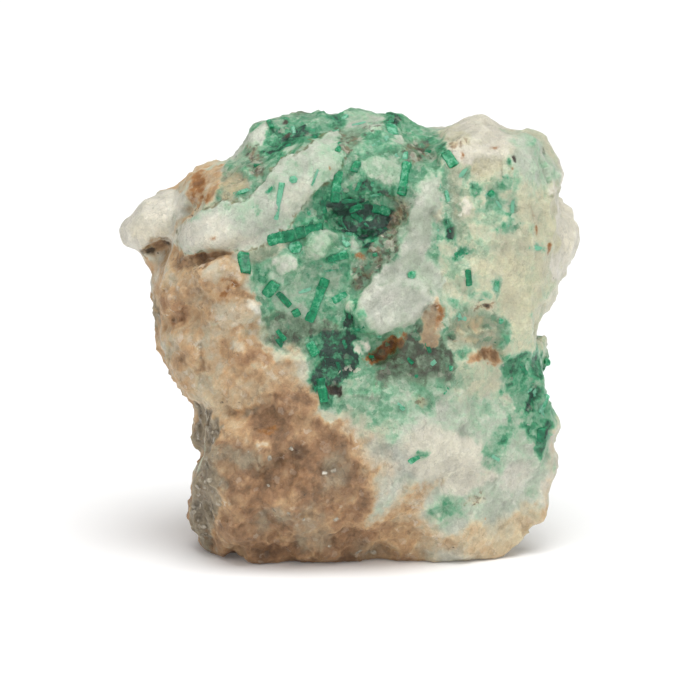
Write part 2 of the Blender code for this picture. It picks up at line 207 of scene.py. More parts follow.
crystals = [Crystal(name) for name in crystal_names]
longest = max(crystals, key=lambda crystal: crystal.length)
print("longest crystal:", longest.name, round(longest.length, 2), "mm")


# %% Plugs that fill the sockets, and the even net of quads
PLUG_GROWTH = 0.42
PLUG_DEPTH = 0.18
END_DEPTH = 0.35
SKIN_STEP = 0.46
NET_TURN = Euler((0.5, 0.4, 0.6)).to_matrix().to_4x4()
TOWARD_READER = 0.36


def facing_at(rock, crystal):
    """Which way the rock faces around a crystal, read on a ring beside its socket."""
    reach = crystal.length / 2 + 1.0
    total = Vector((0, 0, 0))
    for step in range(12):
        angle = math.tau * step / 12
        beside = crystal.centre + (RIGHT * math.cos(angle) + UP * math.sin(angle)) * reach
        total += rock.find_nearest(Vector(beside) * MM)[1]
    return np.array(total.normalized())


def hexagon(centre, axis, side, radius, length):
    """Twelve corners of a prism: six at each end. The side direction points at a flat."""
    other = np.cross(axis, side)
    corners = []
    for end in (-0.5, 0.5):
        for k in range(6):
            angle = math.tau * (k + 0.5) / 6
            corners.append(
                centre + axis * length * end
                + (side * math.cos(angle) + other * math.sin(angle)) * radius
            )
    return corners


PRISM_FACES = [(5, 4, 3, 2, 1, 0), (6, 7, 8, 9, 10, 11)]
PRISM_FACES += [(k, (k + 1) % 6, (k + 1) % 6 + 6, k + 6) for k in range(6)]


def even_skin():
    """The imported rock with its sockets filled, as one closed net of quads."""
    whole = bmesh.new()
    whole.from_mesh(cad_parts["matrix"].data)
    rock = BVHTree.FromBMesh(whole)
    for crystal in crystals:
        facing = facing_at(rock, crystal)
        radius = crystal.width / math.sqrt(3) + PLUG_GROWTH
        sunk = crystal.centre - facing * (PLUG_GROWTH + PLUG_DEPTH)
        sunk = sunk - facing * (END_DEPTH if crystal.goes_in else crystal.width / 2)
        length = crystal.length + 2 * PLUG_GROWTH
        corners = hexagon(sunk, crystal.axis, crystal.side, radius, length)
        plug = mesh_from("plug", corners, PRISM_FACES)
        whole.from_mesh(plug)
        bpy.data.meshes.remove(plug)
    mesh = bpy.data.meshes.new("rock_skin")
    whole.transform(NET_TURN)
    whole.to_mesh(mesh)
    whole.free()
    guide = bpy.data.objects.new("skin_guide", mesh)
    bpy.context.scene.collection.objects.link(guide)
    remesh = guide.modifiers.new("even_quads", "REMESH")
    remesh.mode = "VOXEL"
    remesh.voxel_size = SKIN_STEP * MM
    soften = guide.modifiers.new("soften", "SMOOTH")
    soften.factor = 0.5
    soften.iterations = 4
    graph = bpy.context.evaluated_depsgraph_get()
    skin = bpy.data.meshes.new_from_object(guide.evaluated_get(graph))
    bpy.data.objects.remove(guide, do_unlink=True)
    skin.transform(NET_TURN.inverted())
    return skin


def divide_front(mesh):
    """Divides the quads that face the reader once, with rounded new corners."""
    net = bmesh.new()
    net.from_mesh(mesh)
    toward = Vector(-AWAY)
    edges = {e for f in net.faces if f.normal.dot(toward) > TOWARD_READER for e in f.edges}
    bmesh.ops.subdivide_edges(
        net, edges=list(edges), cuts=1, use_grid_fill=True, smooth=0.7, smooth_falloff="LINEAR",
    )
    net.to_mesh(mesh)
    net.free()


skin = even_skin()
divide_front(skin)
skin.name = "rock_skin"
triangles = sum(len(face.vertices) - 2 for face in skin.polygons)
print("skin:", len(skin.vertices), "points,", triangles, "triangles")

# %% [markdown]
# ## Minerals as channels
# Every point of the skin carries how much of each mineral is there, as channels from 0 to 1. A
# mineral is a set of channel levels. Patches are painted one over the other, like washes, and a
# patch only changes the channels that its mineral names. The green of the quartz is one channel,
# because the same beryl colours it faintly or deeply, and so is the iron stain.

# %% Channels and minerals
CHANNELS = ("white", "cream", "green", "grey", "stain", "mica", "rust", "dark")
FLECKS = ("green_flecks", "dark_flecks", "brown_flecks", "pale_flecks", "slab_seam_and_shadow")
BARE = dict.fromkeys(CHANNELS + FLECKS, 0.0)
WHOLE_MINERALS = {
    "milky quartz": {"white": 0.1},
    "glassy quartz": {"white": 0.05, "green": 0.18, "grey": 0.12},
    "slab quartz": {"white": 0.18, "green": 0.19},
    "white quartz": {"white": 0.85, "cream": 0.14},
    "pale grey quartz": {"white": 0.16, "grey": 0.11, "green": 0.07},
    "cream quartz": {"cream": 0.6, "white": 0.5, "dark_flecks": 0.02},
    "yellow quartz": {"cream": 0.8, "grey": 0.08, "green": 0.05, "dark_flecks": 0.02},
    # Painted highlight: the paler peach used on the lit top of the peach knob.
    "painted peach highlight": {"cream": 0.35, "white": 0.65, "stain": 0.12},
    "mint quartz": {"green": 0.2, "white": 0.16},
    "olive quartz": {"green": 0.34, "cream": 0.7, "grey": 0.95, "stain": 0.22,
                     "dark_flecks": 0.14, "green_flecks": 0.16},
    "mixed quartz": {"green": 0.2, "cream": 0.6, "grey": 0.1, "green_flecks": 0.12,
                     "dark_flecks": 0.02},
    "pale green quartz": {"green": 0.38, "green_flecks": 0.14, "pale_flecks": 0.08},
    "grey green quartz": {"green": 0.47, "grey": 0.12, "green_flecks": 0.24, "pale_flecks": 0.12},
    "clear green quartz": {"green": 0.41, "grey": 0.05, "green_flecks": 0.1, "pale_flecks": 0.08},
    "dull green quartz": {"green": 0.9, "grey": 1.0, "dark": 0.22, "dark_flecks": 0.14,
                          "green_flecks": 0.18, "pale_flecks": 0.05},
    "grey teal quartz": {"green": 0.8, "grey": 0.72, "dark": 0.11, "dark_flecks": 0.06,
                         "green_flecks": 0.22, "pale_flecks": 0.06},
    "pink rock": {"cream": 0.3, "white": 0.4, "stain": 0.22, "brown_flecks": 0.05},
    "green quartz": {"green": 0.6, "green_flecks": 0.25, "pale_flecks": 0.12},
    "rich green quartz": {"green": 0.78, "green_flecks": 0.3, "pale_flecks": 0.04},
    "deep green quartz": {"green": 1.0, "pale_flecks": 0.04},
    "black green quartz": {"green": 1.0, "dark": 0.06, "pale_flecks": 0.03, "brown_flecks": 0.06},
    "speckled quartz": {"green": 0.64, "grey": 0.5, "stain": 0.08, "dark_flecks": 0.46,
                        "green_flecks": 0.3, "pale_flecks": 0.22, "brown_flecks": 0.46},
    "tan rock": {"stain": 0.4, "pale_flecks": 0.1, "brown_flecks": 0.16},
    "pale tan rock": {"stain": 0.22, "white": 0.12, "pale_flecks": 0.25, "brown_flecks": 0.12},
    "peach rock": {"stain": 0.33, "rust": 0.04, "pale_flecks": 0.2},
    "ochre rock": {"stain": 0.27, "cream": 0.6, "pale_flecks": 0.14, "brown_flecks": 0.06},
    "orange rock": {"stain": 0.42, "rust": 0.12, "pale_flecks": 0.15, "brown_flecks": 0.1},
    "brown rock": {"stain": 0.66, "mica": 0.08, "pale_flecks": 0.07, "brown_flecks": 0.2,
                   "dark_flecks": 0.03},
    "rusty brown rock": {"stain": 0.74, "rust": 0.16, "pale_flecks": 0.05, "brown_flecks": 0.25,
                         "dark_flecks": 0.06},
    "dark brown rock": {"stain": 0.84, "pale_flecks": 0.08, "brown_flecks": 0.3,
                        "dark_flecks": 0.15},
    "grey brown rock": {"stain": 0.62, "mica": 0.4, "dark_flecks": 0.06, "pale_flecks": 0.14,
                        "brown_flecks": 0.12},
    "grey pink rock": {"stain": 0.56, "mica": 0.3, "white": 0.1, "pale_flecks": 0.12},
    "mica schist": {"mica": 1.0, "stain": 0.5, "dark_flecks": 0.07, "pale_flecks": 0.12,
                    "brown_flecks": 0.2},
}
TINTS = {
    "rust": {"rust": 1.0},
    "rusty speckle": {"brown_flecks": 0.7, "dark_flecks": 0.35, "stain": 0.3},
    "dark grain": {"dark": 1.0},
    "dark speckle": {"dark_flecks": 0.45},
    "green speckle": {"green_flecks": 0.6},
    "pale speckle": {"pale_flecks": 0.5},
}
MINERALS = {name: {**BARE, **levels} for name, levels in WHOLE_MINERALS.items()} | TINTS
print(len(MINERALS), "minerals in", len(BARE), "channels")

# %% [markdown]
# ## Where each mineral lies on the face
# Zones are outlines and spots are ellipses, each with its mineral, how strongly it covers, how
# soft its edge is and how far it stands proud of the rock around it, in millimetres. They are
# painted from the largest to the smallest, in the order written.

# %% Zones of the face: mineral, cover, edge, rise, outline in picture pixels
ZONES = {
    "right_side": ("mixed quartz", 1.0, 1.2, 0.0, [
        (436, 90), (610, 90), (610, 420), (540, 400), (500, 372), (445, 345), (443, 300),
        (455, 262), (440, 235), (440, 170)]),
    "yellow_side": ("yellow quartz", 0.50, 4.2, 0.0, [
        (522, 186), (562, 180), (560, 230), (558, 280), (553, 305), (544, 345), (524, 350),
        (512, 300), (526, 240)]),
    "lower_yellow": ("yellow quartz", 0.6, 2.4, 0.0, [
        (478, 258), (516, 250), (530, 300), (520, 345), (505, 318), (480, 300)]),
    "right_ledge": ("cream quartz", 0.95, 0.9, 0.0, [
        (558, 176), (574, 186), (592, 215), (588, 268), (566, 284), (553, 281), (557, 230)]),
    "cream_knob": ("cream quartz", 1.0, 2.2, 0.15, [
        (446, 128), (460, 116), (482, 104), (502, 118), (510, 134), (506, 152), (494, 166),
        (468, 168), (452, 150)]),
    "mint_lobe": ("mint quartz", 0.9, 2.4, 0.10, [
        (508, 128), (530, 122), (550, 134), (566, 160), (564, 184), (524, 190), (508, 170)]),
    "green_field": ("grey green quartz", 1.0, 0.6, 0.0, [
        (218, 200), (222, 172), (226, 140), (266, 100), (345, 95), (430, 108), (440, 140),
        (438, 240), (445, 300), (450, 375), (350, 380), (348, 412), (326, 414), (311, 398),
        (306, 358), (284, 344), (262, 330), (254, 310), (247, 285), (250, 262), (290, 245),
        (315, 215), (300, 208), (262, 190), (240, 204)]),
    "left_top_block": ("milky quartz", 0.85, 0.50, 0.12, [
        (226, 152), (238, 138), (252, 128), (268, 122), (268, 140), (263, 148), (252, 150),
        (243, 153)]),
    "olive_corner": ("olive quartz", 0.9, 0.5, 0.0, [
        (222, 174), (240, 170), (251, 180), (250, 192), (238, 200), (222, 204), (218, 190)]),
    "green_band": ("green quartz", 0.85, 0.5, 0.05, [
        (264, 152), (269, 126), (285, 112), (345, 104), (350, 124), (338, 131), (322, 138),
        (300, 147), (285, 154), (275, 161), (266, 160)]),
    "pale_top": ("mint quartz", 0.85, 0.5, 0.1, [
        (345, 104), (384, 104), (387, 128), (372, 133), (356, 127), (346, 130)]),
    "pale_slab": ("slab quartz", 1.0, 0.30, 0.22, [
        (178, 234), (186, 222), (200, 210), (215, 206), (232, 202), (246, 200), (256, 190),
        (268, 176), (276, 163), (285, 155), (300, 150), (315, 142), (330, 134), (340, 131),
        (345, 140), (343, 160), (338, 175), (332, 184), (318, 187), (312, 196), (302, 207),
        (292, 219), (287, 228), (272, 236), (264, 244), (250, 250), (232, 251), (222, 247),
        (205, 248), (188, 254), (181, 245)]),
    "green_beside_slab": ("green quartz", 0.8, 0.4, -0.1, [
        (319, 190), (333, 184), (346, 172), (352, 200), (336, 204), (338, 236), (325, 238),
        (300, 232), (292, 228), (303, 209)]),
    "dark_hollow": ("deep green quartz", 1.0, 0.5, 0.35, [
        (334, 206), (345, 201), (365, 202), (385, 200), (395, 203), (399, 215), (399, 230),
        (392, 241), (378, 247), (362, 244), (348, 242), (337, 236)]),
    "hollow_floor": ("black green quartz", 0.6, 0.8, 0.35, [
        (352, 208), (370, 206), (374, 214), (390, 214), (394, 226), (384, 238), (362, 234),
        (352, 224)]),
    "speckled_strip": ("speckled quartz", 0.9, 0.5, 0.0, [
        (388, 194), (401, 192), (411, 205), (402, 226), (399, 248), (386, 264), (372, 276),
        (357, 292), (348, 284), (352, 266), (368, 250), (388, 240), (400, 224), (396, 203)]),
    "pale_band": ("pale grey quartz", 0.85, 1.0, 0.12, [
        (399, 246), (407, 218), (413, 196), (428, 180), (440, 170), (442, 200), (436, 226),
        (430, 256), (444, 272), (446, 296), (404, 284), (372, 284), (382, 268), (396, 256)]),
    "white_fragments": ("glassy quartz", 0.8, 0.6, 0.12, [
        (360, 166), (374, 158), (397, 160), (400, 172), (394, 184), (380, 184), (368, 177)]),
    "white_block": ("pale grey quartz", 1.0, 0.9, 0.18, [
        (357, 302), (370, 286), (394, 280), (430, 286), (440, 298), (428, 306), (420, 319),
        (404, 326), (384, 333), (370, 326), (362, 312)]),
    "dull_green_below": ("dull green quartz", 0.85, 0.6, 0.0, [
        (370, 364), (398, 340), (426, 324), (446, 345), (452, 380), (380, 385)]),
    "translucent_field": ("clear green quartz", 0.9, 0.8, 0.0, [
        (252, 276), (260, 262), (275, 253), (300, 248), (330, 252), (352, 264), (350, 300),
        (344, 322), (300, 316), (276, 312), (258, 308), (250, 292)]),
    "dull_field": ("grey teal quartz", 0.9, 0.8, -0.1, [
        (260, 318), (285, 312), (310, 320), (335, 325), (352, 334), (345, 348), (330, 345),
        (300, 343), (284, 352), (268, 342)]),
    "green_root": ("deep green quartz", 0.9, 0.5, -0.12, [
        (302, 338), (320, 330), (348, 326), (362, 345), (358, 366), (345, 374), (335, 384),
        (331, 408), (320, 411), (313, 396), (308, 370)]),
    "tan_left": ("tan rock", 1.0, 1.6, 0.0, [
        (120, 262), (158, 256), (190, 256), (215, 250), (236, 256), (246, 270), (248, 288),
        (254, 306), (257, 328), (274, 350), (300, 364), (308, 380), (316, 402), (326, 414),
        (352, 430), (392, 462), (408, 505), (448, 548), (500, 572), (500, 620), (140, 620),
        (140, 420), (210, 405), (120, 350)]),
    "orange_knob": ("orange rock", 0.9, 0.5, 0.10, [
        (184, 190), (190, 178), (202, 168), (214, 158), (226, 156), (225, 172), (218, 188),
        (214, 198), (204, 202), (196, 206), (188, 205)]),
    "peach_knob": ("peach rock", 0.95, 0.4, 0.12, [
        (202, 264), (214, 256), (230, 259), (241, 268), (243, 281), (236, 289), (222, 300),
        (210, 303), (200, 293), (199, 275)]),
    "pale_tongue": ("pale tan rock", 0.85, 0.5, 0.10, [
        (200, 305), (222, 302), (245, 301), (259, 308), (256, 320), (236, 326), (204, 324)]),
    "lower_brown": ("brown rock", 0.8, 1.6, 0.0, [
        (214, 452), (244, 430), (262, 402), (300, 392), (318, 412), (348, 440), (372, 478),
        (384, 520), (430, 566), (440, 620), (170, 620), (186, 500)]),
    "lower_belly": ("ochre rock", 0.7, 0.9, 0.0, [
        (186, 388), (212, 380), (250, 378), (262, 390), (252, 402), (222, 410), (242, 424),
        (236, 434), (220, 424), (206, 408)]),
    "mica_strip": ("mica schist", 0.80, 1.4, 0.0, [
        (180, 455), (214, 452), (220, 480), (216, 520), (208, 548), (196, 560), (176, 520)]),
    "mica_waist": ("mica schist", 0.95, 0.8, -0.08, [
        (190, 408), (214, 410), (220, 428), (215, 440), (210, 456), (192, 456)]),
    "low_right_middle": ("mint quartz", 0.85, 2.6, 0.0, [
        (372, 452), (396, 412), (440, 390), (510, 392), (548, 446), (556, 500), (530, 540),
        (470, 552), (420, 528), (388, 492)]),
    "low_right_cream": ("cream quartz", 0.8, 1.4, 0.08, [
        (402, 444), (424, 428), (456, 432), (486, 452), (492, 478), (468, 494), (434, 488),
        (408, 470)]),
    "low_right_base": ("ochre rock", 0.8, 2.0, 0.0, [
        (440, 536), (490, 520), (532, 506), (560, 490), (560, 620), (450, 620)]),
    "low_right_brown": ("tan rock", 0.7, 2.0, 0.0, [
        (360, 500), (392, 486), (420, 520), (470, 548), (466, 572), (410, 566), (372, 540)]),
    "low_right_blend": ("pale tan rock", 0.7, 2.6, 0.0, [
        (344, 428), (372, 430), (412, 470), (430, 516), (478, 552), (474, 584), (430, 562),
        (396, 524), (368, 476)]),
    "low_right_green": ("grey green quartz", 0.75, 2.6, 0.0, [
        (332, 384), (380, 372), (446, 374), (452, 392), (420, 414), (376, 426), (348, 412)]),
    "green_flank": ("green quartz", 0.85, 0.7, 0.0, [
        (506, 356), (534, 350), (546, 366), (550, 402), (556, 428), (552, 458), (540, 462),
        (522, 420), (500, 380)]),
}

# %% Spots of the face: mineral, cover, edge, rise, middle in pixels, half sizes in mm, turn
SPOTS = {
    "nub_white": ("white quartz", 1.0, 0.3, 0.0, (148, 212), (4.4, 3.0), 10),
    # Painted shade: the underside of the white nub is painted cream.
    "nub_underside_shade": ("cream quartz", 0.8, 0.6, 0.0, (150, 234), (2.6, 0.8), -8),
    "nub_root": ("pale tan rock", 0.7, 0.6, 0.0, (180, 215), (0.9, 2.4), -20),
    "nub_ledge": ("tan rock", 0.8, 0.5, 0.0, (174, 187), (1.6, 0.35), 8),
    "nub_pit": ("dark brown rock", 0.8, 0.8, -0.5, (160, 248), (1.6, 0.7), 14),
    "nub_pit_deep": ("dark grain", 0.5, 0.5, -0.2, (151, 251), (0.6, 0.3), -10),
    "nub_pit_side": ("dark grain", 0.3, 0.5, -0.1, (167, 243), (0.5, 0.5), 0),
    "below_pit": ("rusty brown rock", 0.6, 0.6, 0.0, (177, 254), (1.3, 0.7), -15),
    "orange_streak": ("rust", 0.5, 0.6, -0.1, (198, 185), (1.1, 0.5), 60),
    "orange_streak_low": ("rust", 0.45, 0.6, -0.1, (199, 199), (0.7, 0.4), 20),
    "nub_crevice": ("orange rock", 0.85, 0.5, -0.25, (191, 210), (0.6, 1.5), -34),
    "nub_crevice_dark": ("dark speckle", 0.9, 0.4, 0.0, (190, 212), (0.4, 0.9), -34),
    "tan_pink_a": ("pale tan rock", 0.7, 1.0, 0.0, (292, 372), (2.4, 0.7), 24),
    "tan_pink_b": ("pink rock", 0.6, 0.8, 0.05, (215, 335), (1.6, 0.7), 30),
    "tan_pink_c": ("pink rock", 0.55, 0.8, 0.05, (228, 368), (2.2, 0.8), 20),
    "tan_pink_d": ("pale tan rock", 0.7, 0.8, 0.0, (170, 345), (1.2, 1.6), -20),
    "tan_brown_a": ("brown rock", 0.5, 0.8, 0.0, (250, 356), (1.8, 0.5), 16),
    "tan_brown_b": ("brown rock", 0.45, 0.8, 0.0, (206, 318), (0.8, 1.2), 0),
    "tan_brown_c": ("brown rock", 0.5, 0.8, 0.0, (286, 404), (2.6, 0.8), 12),
    "crevice_edge": ("brown rock", 0.7, 0.5, -0.1, (184, 223), (1.0, 0.3), 55),
    "slab_white": ("white quartz", 0.75, 0.9, 0.0, (206, 231), (3.0, 1.5), 14),
    "slab_cream": ("cream quartz", 0.70, 0.9, 0.0, (238, 240), (2.6, 0.9), 4),
    "slab_mint": ("mint quartz", 0.7, 0.9, 0.0, (252, 212), (2.2, 1.6), 50),
    "slab_middle": ("cream quartz", 0.4, 1.0, 0.0, (296, 196), (2.6, 1.8), 48),
    "slab_crest": ("mint quartz", 0.85, 0.8, 0.0, (308, 160), (3.6, 1.1), 24),
    "slab_tip": ("mint quartz", 0.8, 0.6, 0.0, (336, 150), (0.9, 1.8), 0),
    "slab_speck_one": ("rust", 0.35, 0.3, 0.0, (214, 238), (0.22, 0.10), 10),
    "slab_speck_two": ("rich green quartz", 0.6, 0.5, 0.0, (196, 219), (0.35, 0.18), 30),
    "slab_speck_three": ("green quartz", 0.5, 0.5, 0.0, (243, 219), (0.3, 0.3), 0),
    "slab_speck_four": ("rust", 0.5, 0.5, 0.0, (330, 168), (0.15, 0.25), 0),
    "slab_streak": ("green quartz", 0.4, 0.4, 0.0, (315, 178), (0.9, 0.14), 66),
    "slab_short_rod": ("rich green quartz", 0.55, 0.3, 0.0, (269, 190), (0.5, 0.2), 50),
    "slab_low_rod": ("rich green quartz", 0.75, 0.25, 0.0, (258, 209), (0.62, 0.32), 88),
    "slab_foot": ("olive quartz", 0.6, 0.5, 0.0, (258, 256), (1.8, 0.5), 28),
    "corner_green": ("mixed quartz", 0.7, 0.8, 0.0, (240, 162), (1.6, 0.8), 40),
    "corner_wedge": ("rich green quartz", 0.8, 0.3, -0.1, (243, 192), (1.0, 0.35), 26),
    "corner_streak": ("rich green quartz", 0.6, 0.4, 0.0, (221, 194), (0.9, 0.2), 80),
    "corner_speckle": ("speckled quartz", 0.95, 0.6, -0.2, (255, 160), (1.7, 0.9), 112),
    "corner_dark": ("rusty speckle", 0.9, 0.6, -0.1, (252, 154), (0.5, 0.6), 0),
    "band_bright": ("rich green quartz", 0.95, 0.4, 0.05, (281, 146), (1.9, 0.7), 20),
    "band_deep": ("rich green quartz", 0.7, 0.5, 0.0, (272, 155), (0.9, 0.45), 38),
    "band_block": ("rich green quartz", 0.85, 0.25, 0.06, (311, 131), (1.3, 0.4), 3),
    "band_end": ("rich green quartz", 0.7, 0.4, 0.0, (335, 121), (0.5, 0.7), 0),
    "band_speck_one": ("dark grain", 0.7, 0.5, 0.0, (286, 123), (0.16, 0.34), -35),
    "band_speck_two": ("dark grain", 0.6, 0.5, 0.0, (289, 137), (0.34, 0.18), 10),
    "band_speck_three": ("dark grain", 0.55, 0.35, 0.0, (338, 129), (0.2, 0.35), 0),
    "top_dark": ("speckled quartz", 0.95, 0.6, -0.2, (349, 139), (1.1, 1.3), -10),
    "top_dark_low": ("dark speckle", 0.9, 0.5, 0.0, (348, 147), (0.7, 0.8), 0),
    "top_mint": ("pale green quartz", 0.8, 0.8, 0.05, (378, 142), (2.4, 1.0), 10),
    "top_specks": ("dark speckle", 0.9, 0.5, 0.0, (372, 130), (1.5, 0.4), 20),
    "crest_green": ("rich green quartz", 0.85, 0.35, 0.0, (393, 124), (0.9, 1.1), 0),
    "crest_side": ("pale green quartz", 0.75, 0.6, 0.0, (412, 130), (1.6, 0.9), -40),
    "crest_pale": ("milky quartz", 0.7, 0.4, 0.1, (400, 142), (0.8, 0.5), 0),
    "notch_speckle": ("speckled quartz", 0.95, 0.7, -0.15, (417, 152), (1.5, 1.3), 40),
    "notch_dark": ("dark grain", 0.6, 0.5, -0.1, (421, 149), (0.5, 0.35), 30),
    "notch_green": ("rich green quartz", 0.7, 0.4, 0.0, (427, 141), (0.7, 0.4), 30),
    "stub_green": ("deep green quartz", 0.85, 0.3, 0.0, (355, 166), (0.6, 0.55), 20),
    "stub_chip": ("mint quartz", 0.8, 0.3, 0.1, (363, 153), (0.4, 0.3), 0),
    "rod_green": ("rich green quartz", 0.75, 0.4, 0.0, (406, 178), (2.3, 0.45), 82),
    "rod_specks": ("green speckle", 0.9, 0.6, 0.0, (421, 173), (1.1, 1.0), 0),
    "middle_green": ("rich green quartz", 0.55, 0.6, 0.0, (375, 190), (2.6, 0.8), -4),
    "middle_dark": ("rich green quartz", 0.7, 0.4, 0.0, (362, 186), (0.4, 1.0), 0),
    "hollow_lip": ("deep green quartz", 0.8, 0.3, 0.0, (356, 204), (2.0, 0.3), 2),
    "hollow_green": ("rich green quartz", 0.8, 0.35, 0.05, (382, 207), (1.1, 0.75), 10),
    "hollow_low": ("deep green quartz", 0.8, 0.5, 0.0, (345, 233), (0.7, 0.5), 10),
    "hollow_stain": ("rusty speckle", 0.8, 0.8, 0.0, (399, 214), (0.7, 1.7), -18),
    "hollow_orange": ("rust", 0.5, 0.5, 0.0, (361, 256), (0.4, 0.35), 0),
    "grain_upper": ("glassy quartz", 0.85, 0.40, 0.14, (318, 246), (1.6, 0.85), 50),
    "grain_lower": ("pale grey quartz", 0.95, 0.45, 0.14, (282, 264), (1.4, 0.9), -8),
    "grain_mid": ("white quartz", 0.6, 0.3, 0.15, (272, 276), (0.4, 0.4), 0),
    "grain_right": ("milky quartz", 0.7, 0.3, 0.12, (386, 269), (0.6, 0.45), 0),
    "pale_cluster": ("pale green quartz", 0.7, 0.5, 0.1, (318, 274), (1.0, 0.5), 20),
    "fan_green": ("rich green quartz", 0.75, 0.35, 0.0, (334, 258), (1.6, 0.4), 14),
    "fan_green_low": ("green quartz", 0.7, 0.4, 0.0, (340, 270), (1.3, 0.5), 0),
    "field_green": ("rich green quartz", 0.4, 0.5, 0.0, (262, 276), (0.9, 0.8), 0),
    "field_speck": ("rich green quartz", 0.5, 0.3, 0.0, (309, 290), (0.5, 0.18), 8),
    "root_dark": ("black green quartz", 0.75, 0.5, -0.15, (352, 318), (0.6, 1.8), -12),
    "root_dark_low": ("black green quartz", 0.6, 0.6, -0.1, (322, 358), (0.9, 1.5), 0),
    "root_end": ("deep green quartz", 0.8, 0.4, 0.0, (280, 340), (0.55, 1.0), 0),
    "root_cavity": ("dark grain", 0.6, 0.5, -0.6, (336, 390), (1.0, 0.7), 20),
    "root_specks": ("pale speckle", 0.8, 0.6, 0.0, (348, 372), (1.2, 0.8), 0),
    "light_grain_one": ("pale green quartz", 0.9, 0.25, 0.2, (361, 315), (0.65, 0.55), 0),
    "light_grain_two": ("green quartz", 0.8, 0.3, 0.15, (358, 329), (0.7, 0.4), 20),
    "cream_grain": ("cream quartz", 0.8, 0.3, 0.15, (352, 306), (0.4, 0.6), 0),
    "white_grain_low": ("white quartz", 0.9, 0.25, 0.25, (361, 347), (0.85, 0.7), -10),
    "rust_notch": ("rust", 1.0, 0.5, -0.15, (385, 350), (2.2, 0.75), 34),
    "rust_notch_dark": ("dark speckle", 0.25, 0.4, 0.0, (384, 350), (1.4, 0.4), 34),
    "red_knob": ("grey pink rock", 0.8, 0.9, 0.12, (433, 318), (1.0, 2.0), -8),
    "red_knob_rust": ("rust", 0.35, 0.6, 0.0, (440, 316), (0.4, 1.2), -8),
    "knob_foot": ("grey pink rock", 0.7, 0.5, 0.0, (430, 340), (0.9, 1.0), 0),
    "shoulder_green": ("rich green quartz", 0.75, 0.35, 0.0, (446, 154), (1.4, 0.5), -52),
    "shoulder_edge": ("green quartz", 0.7, 0.4, 0.0, (444, 130), (1.1, 0.3), 16),
    "band_side_green": ("green quartz", 0.7, 0.6, 0.0, (447, 196), (2.6, 0.6), 96),
    "band_side_rich": ("rich green quartz", 0.8, 0.4, 0.0, (449, 226), (1.6, 0.42), 112),
    "band_side_pale": ("pale green quartz", 0.8, 0.4, 0.0, (438, 232), (1.9, 0.6), 80),
    "band_side_low": ("green quartz", 0.7, 0.4, 0.0, (431, 250), (1.2, 0.35), 60),
    "band_side_dark": ("deep green quartz", 0.5, 0.4, -0.1, (449, 237), (0.3, 0.6), 0),
    "olive_run": ("olive quartz", 0.6, 0.9, 0.0, (456, 205), (2.6, 0.6), 100),
    "cream_chip": ("cream quartz", 0.9, 0.3, 0.15, (465, 207), (0.7, 1.1), 0),
    "knob_yellow": ("yellow quartz", 0.8, 0.9, 0.0, (462, 136), (1.6, 1.0), -30),
    "knob_yellow_low": ("yellow quartz", 0.7, 0.9, 0.0, (484, 168), (2.0, 1.1), 10),
    "knob_stain": ("rusty speckle", 0.35, 0.8, 0.0, (455, 142), (1.0, 0.7), 40),
    "patch_a": ("green quartz", 0.85, 0.3, 0.03, (466, 173), (0.8, 0.4), 58),
    "patch_b": ("green quartz", 0.85, 0.3, 0.03, (474, 188), (0.65, 0.6), 0),
    "patch_c": ("green quartz", 0.7, 0.4, 0.0, (505, 183), (0.7, 0.8), 20),
    "patch_d": ("pale green quartz", 0.7, 0.4, 0.0, (515, 180), (0.5, 0.9), 0),
    "patch_e": ("pale green quartz", 0.85, 0.4, 0.0, (500, 204), (1.4, 0.8), -40),
    "patch_f": ("pale green quartz", 0.7, 0.4, 0.0, (485, 208), (0.9, 0.5), 10),
    "patch_g": ("green quartz", 0.6, 0.4, 0.0, (513, 206), (0.4, 1.6), 0),
    "patch_h": ("green quartz", 0.8, 0.4, 0.0, (508, 228), (1.2, 0.6), 10),
    "patch_i": ("green quartz", 0.85, 0.25, 0.04, (462, 254), (1.2, 0.42), 22),
    "patch_j": ("green quartz", 0.7, 0.4, 0.0, (497, 286), (0.5, 1.1), 0),
    "patch_k": ("pale green quartz", 0.7, 0.5, 0.0, (480, 297), (0.9, 0.4), 10),
    "patch_l": ("green quartz", 0.85, 0.35, 0.0, (453, 303), (0.8, 0.65), 0),
    "patch_m": ("green quartz", 0.7, 0.5, 0.0, (458, 316), (1.0, 0.5), 20),
    "patch_n": ("deep green quartz", 0.8, 0.25, 0.0, (453, 324), (0.3, 0.3), 0),
    "patch_o": ("rich green quartz", 0.75, 0.5, 0.0, (500, 335), (0.8, 1.4), -15),
    "patch_p": ("green quartz", 0.7, 0.4, 0.0, (536, 248), (0.9, 0.36), -8),
    "patch_q": ("pale green quartz", 0.8, 0.4, 0.0, (533, 142), (0.3, 0.4), 0),
    "patch_r": ("pale green quartz", 0.7, 0.4, 0.0, (537, 153), (0.3, 0.35), 0),
    "patch_s": ("green quartz", 0.5, 0.4, 0.0, (534, 316), (0.25, 0.45), 20),
    "round_end_halo": ("rich green quartz", 0.7, 0.2, 0.0, (411, 275), (0.44, 0.44), 0),
    "speck_hole_one": ("dark grain", 0.9, 0.25, -0.2, (514, 160), (0.15, 0.32), 0),
    "speck_hole_two": ("deep green quartz", 0.8, 0.3, -0.1, (508, 162), (0.15, 0.24), 0),
    "speck_hole_three": ("rust", 0.5, 0.3, 0.0, (511, 169), (0.12, 0.2), 0),
    "edge_speck": ("dark grain", 0.7, 0.25, -0.1, (547, 145), (0.10, 0.32), 22),
    "rust_fleck_one": ("rust", 0.5, 0.5, 0.0, (464, 155), (0.15, 0.35), 0),
    "rust_fleck_two": ("rusty speckle", 0.7, 0.8, 0.0, (456, 146), (0.9, 0.5), 30),
    "rust_fleck_three": ("rust", 0.35, 0.5, 0.0, (493, 147), (0.4, 0.25), 0),
    "rust_fleck_four": ("rust", 0.7, 0.3, -0.1, (547, 248), (0.15, 0.42), 0),
    "rust_hair_one": ("rust", 0.25, 0.3, 0.0, (534, 214), (0.05, 1.2), 14),
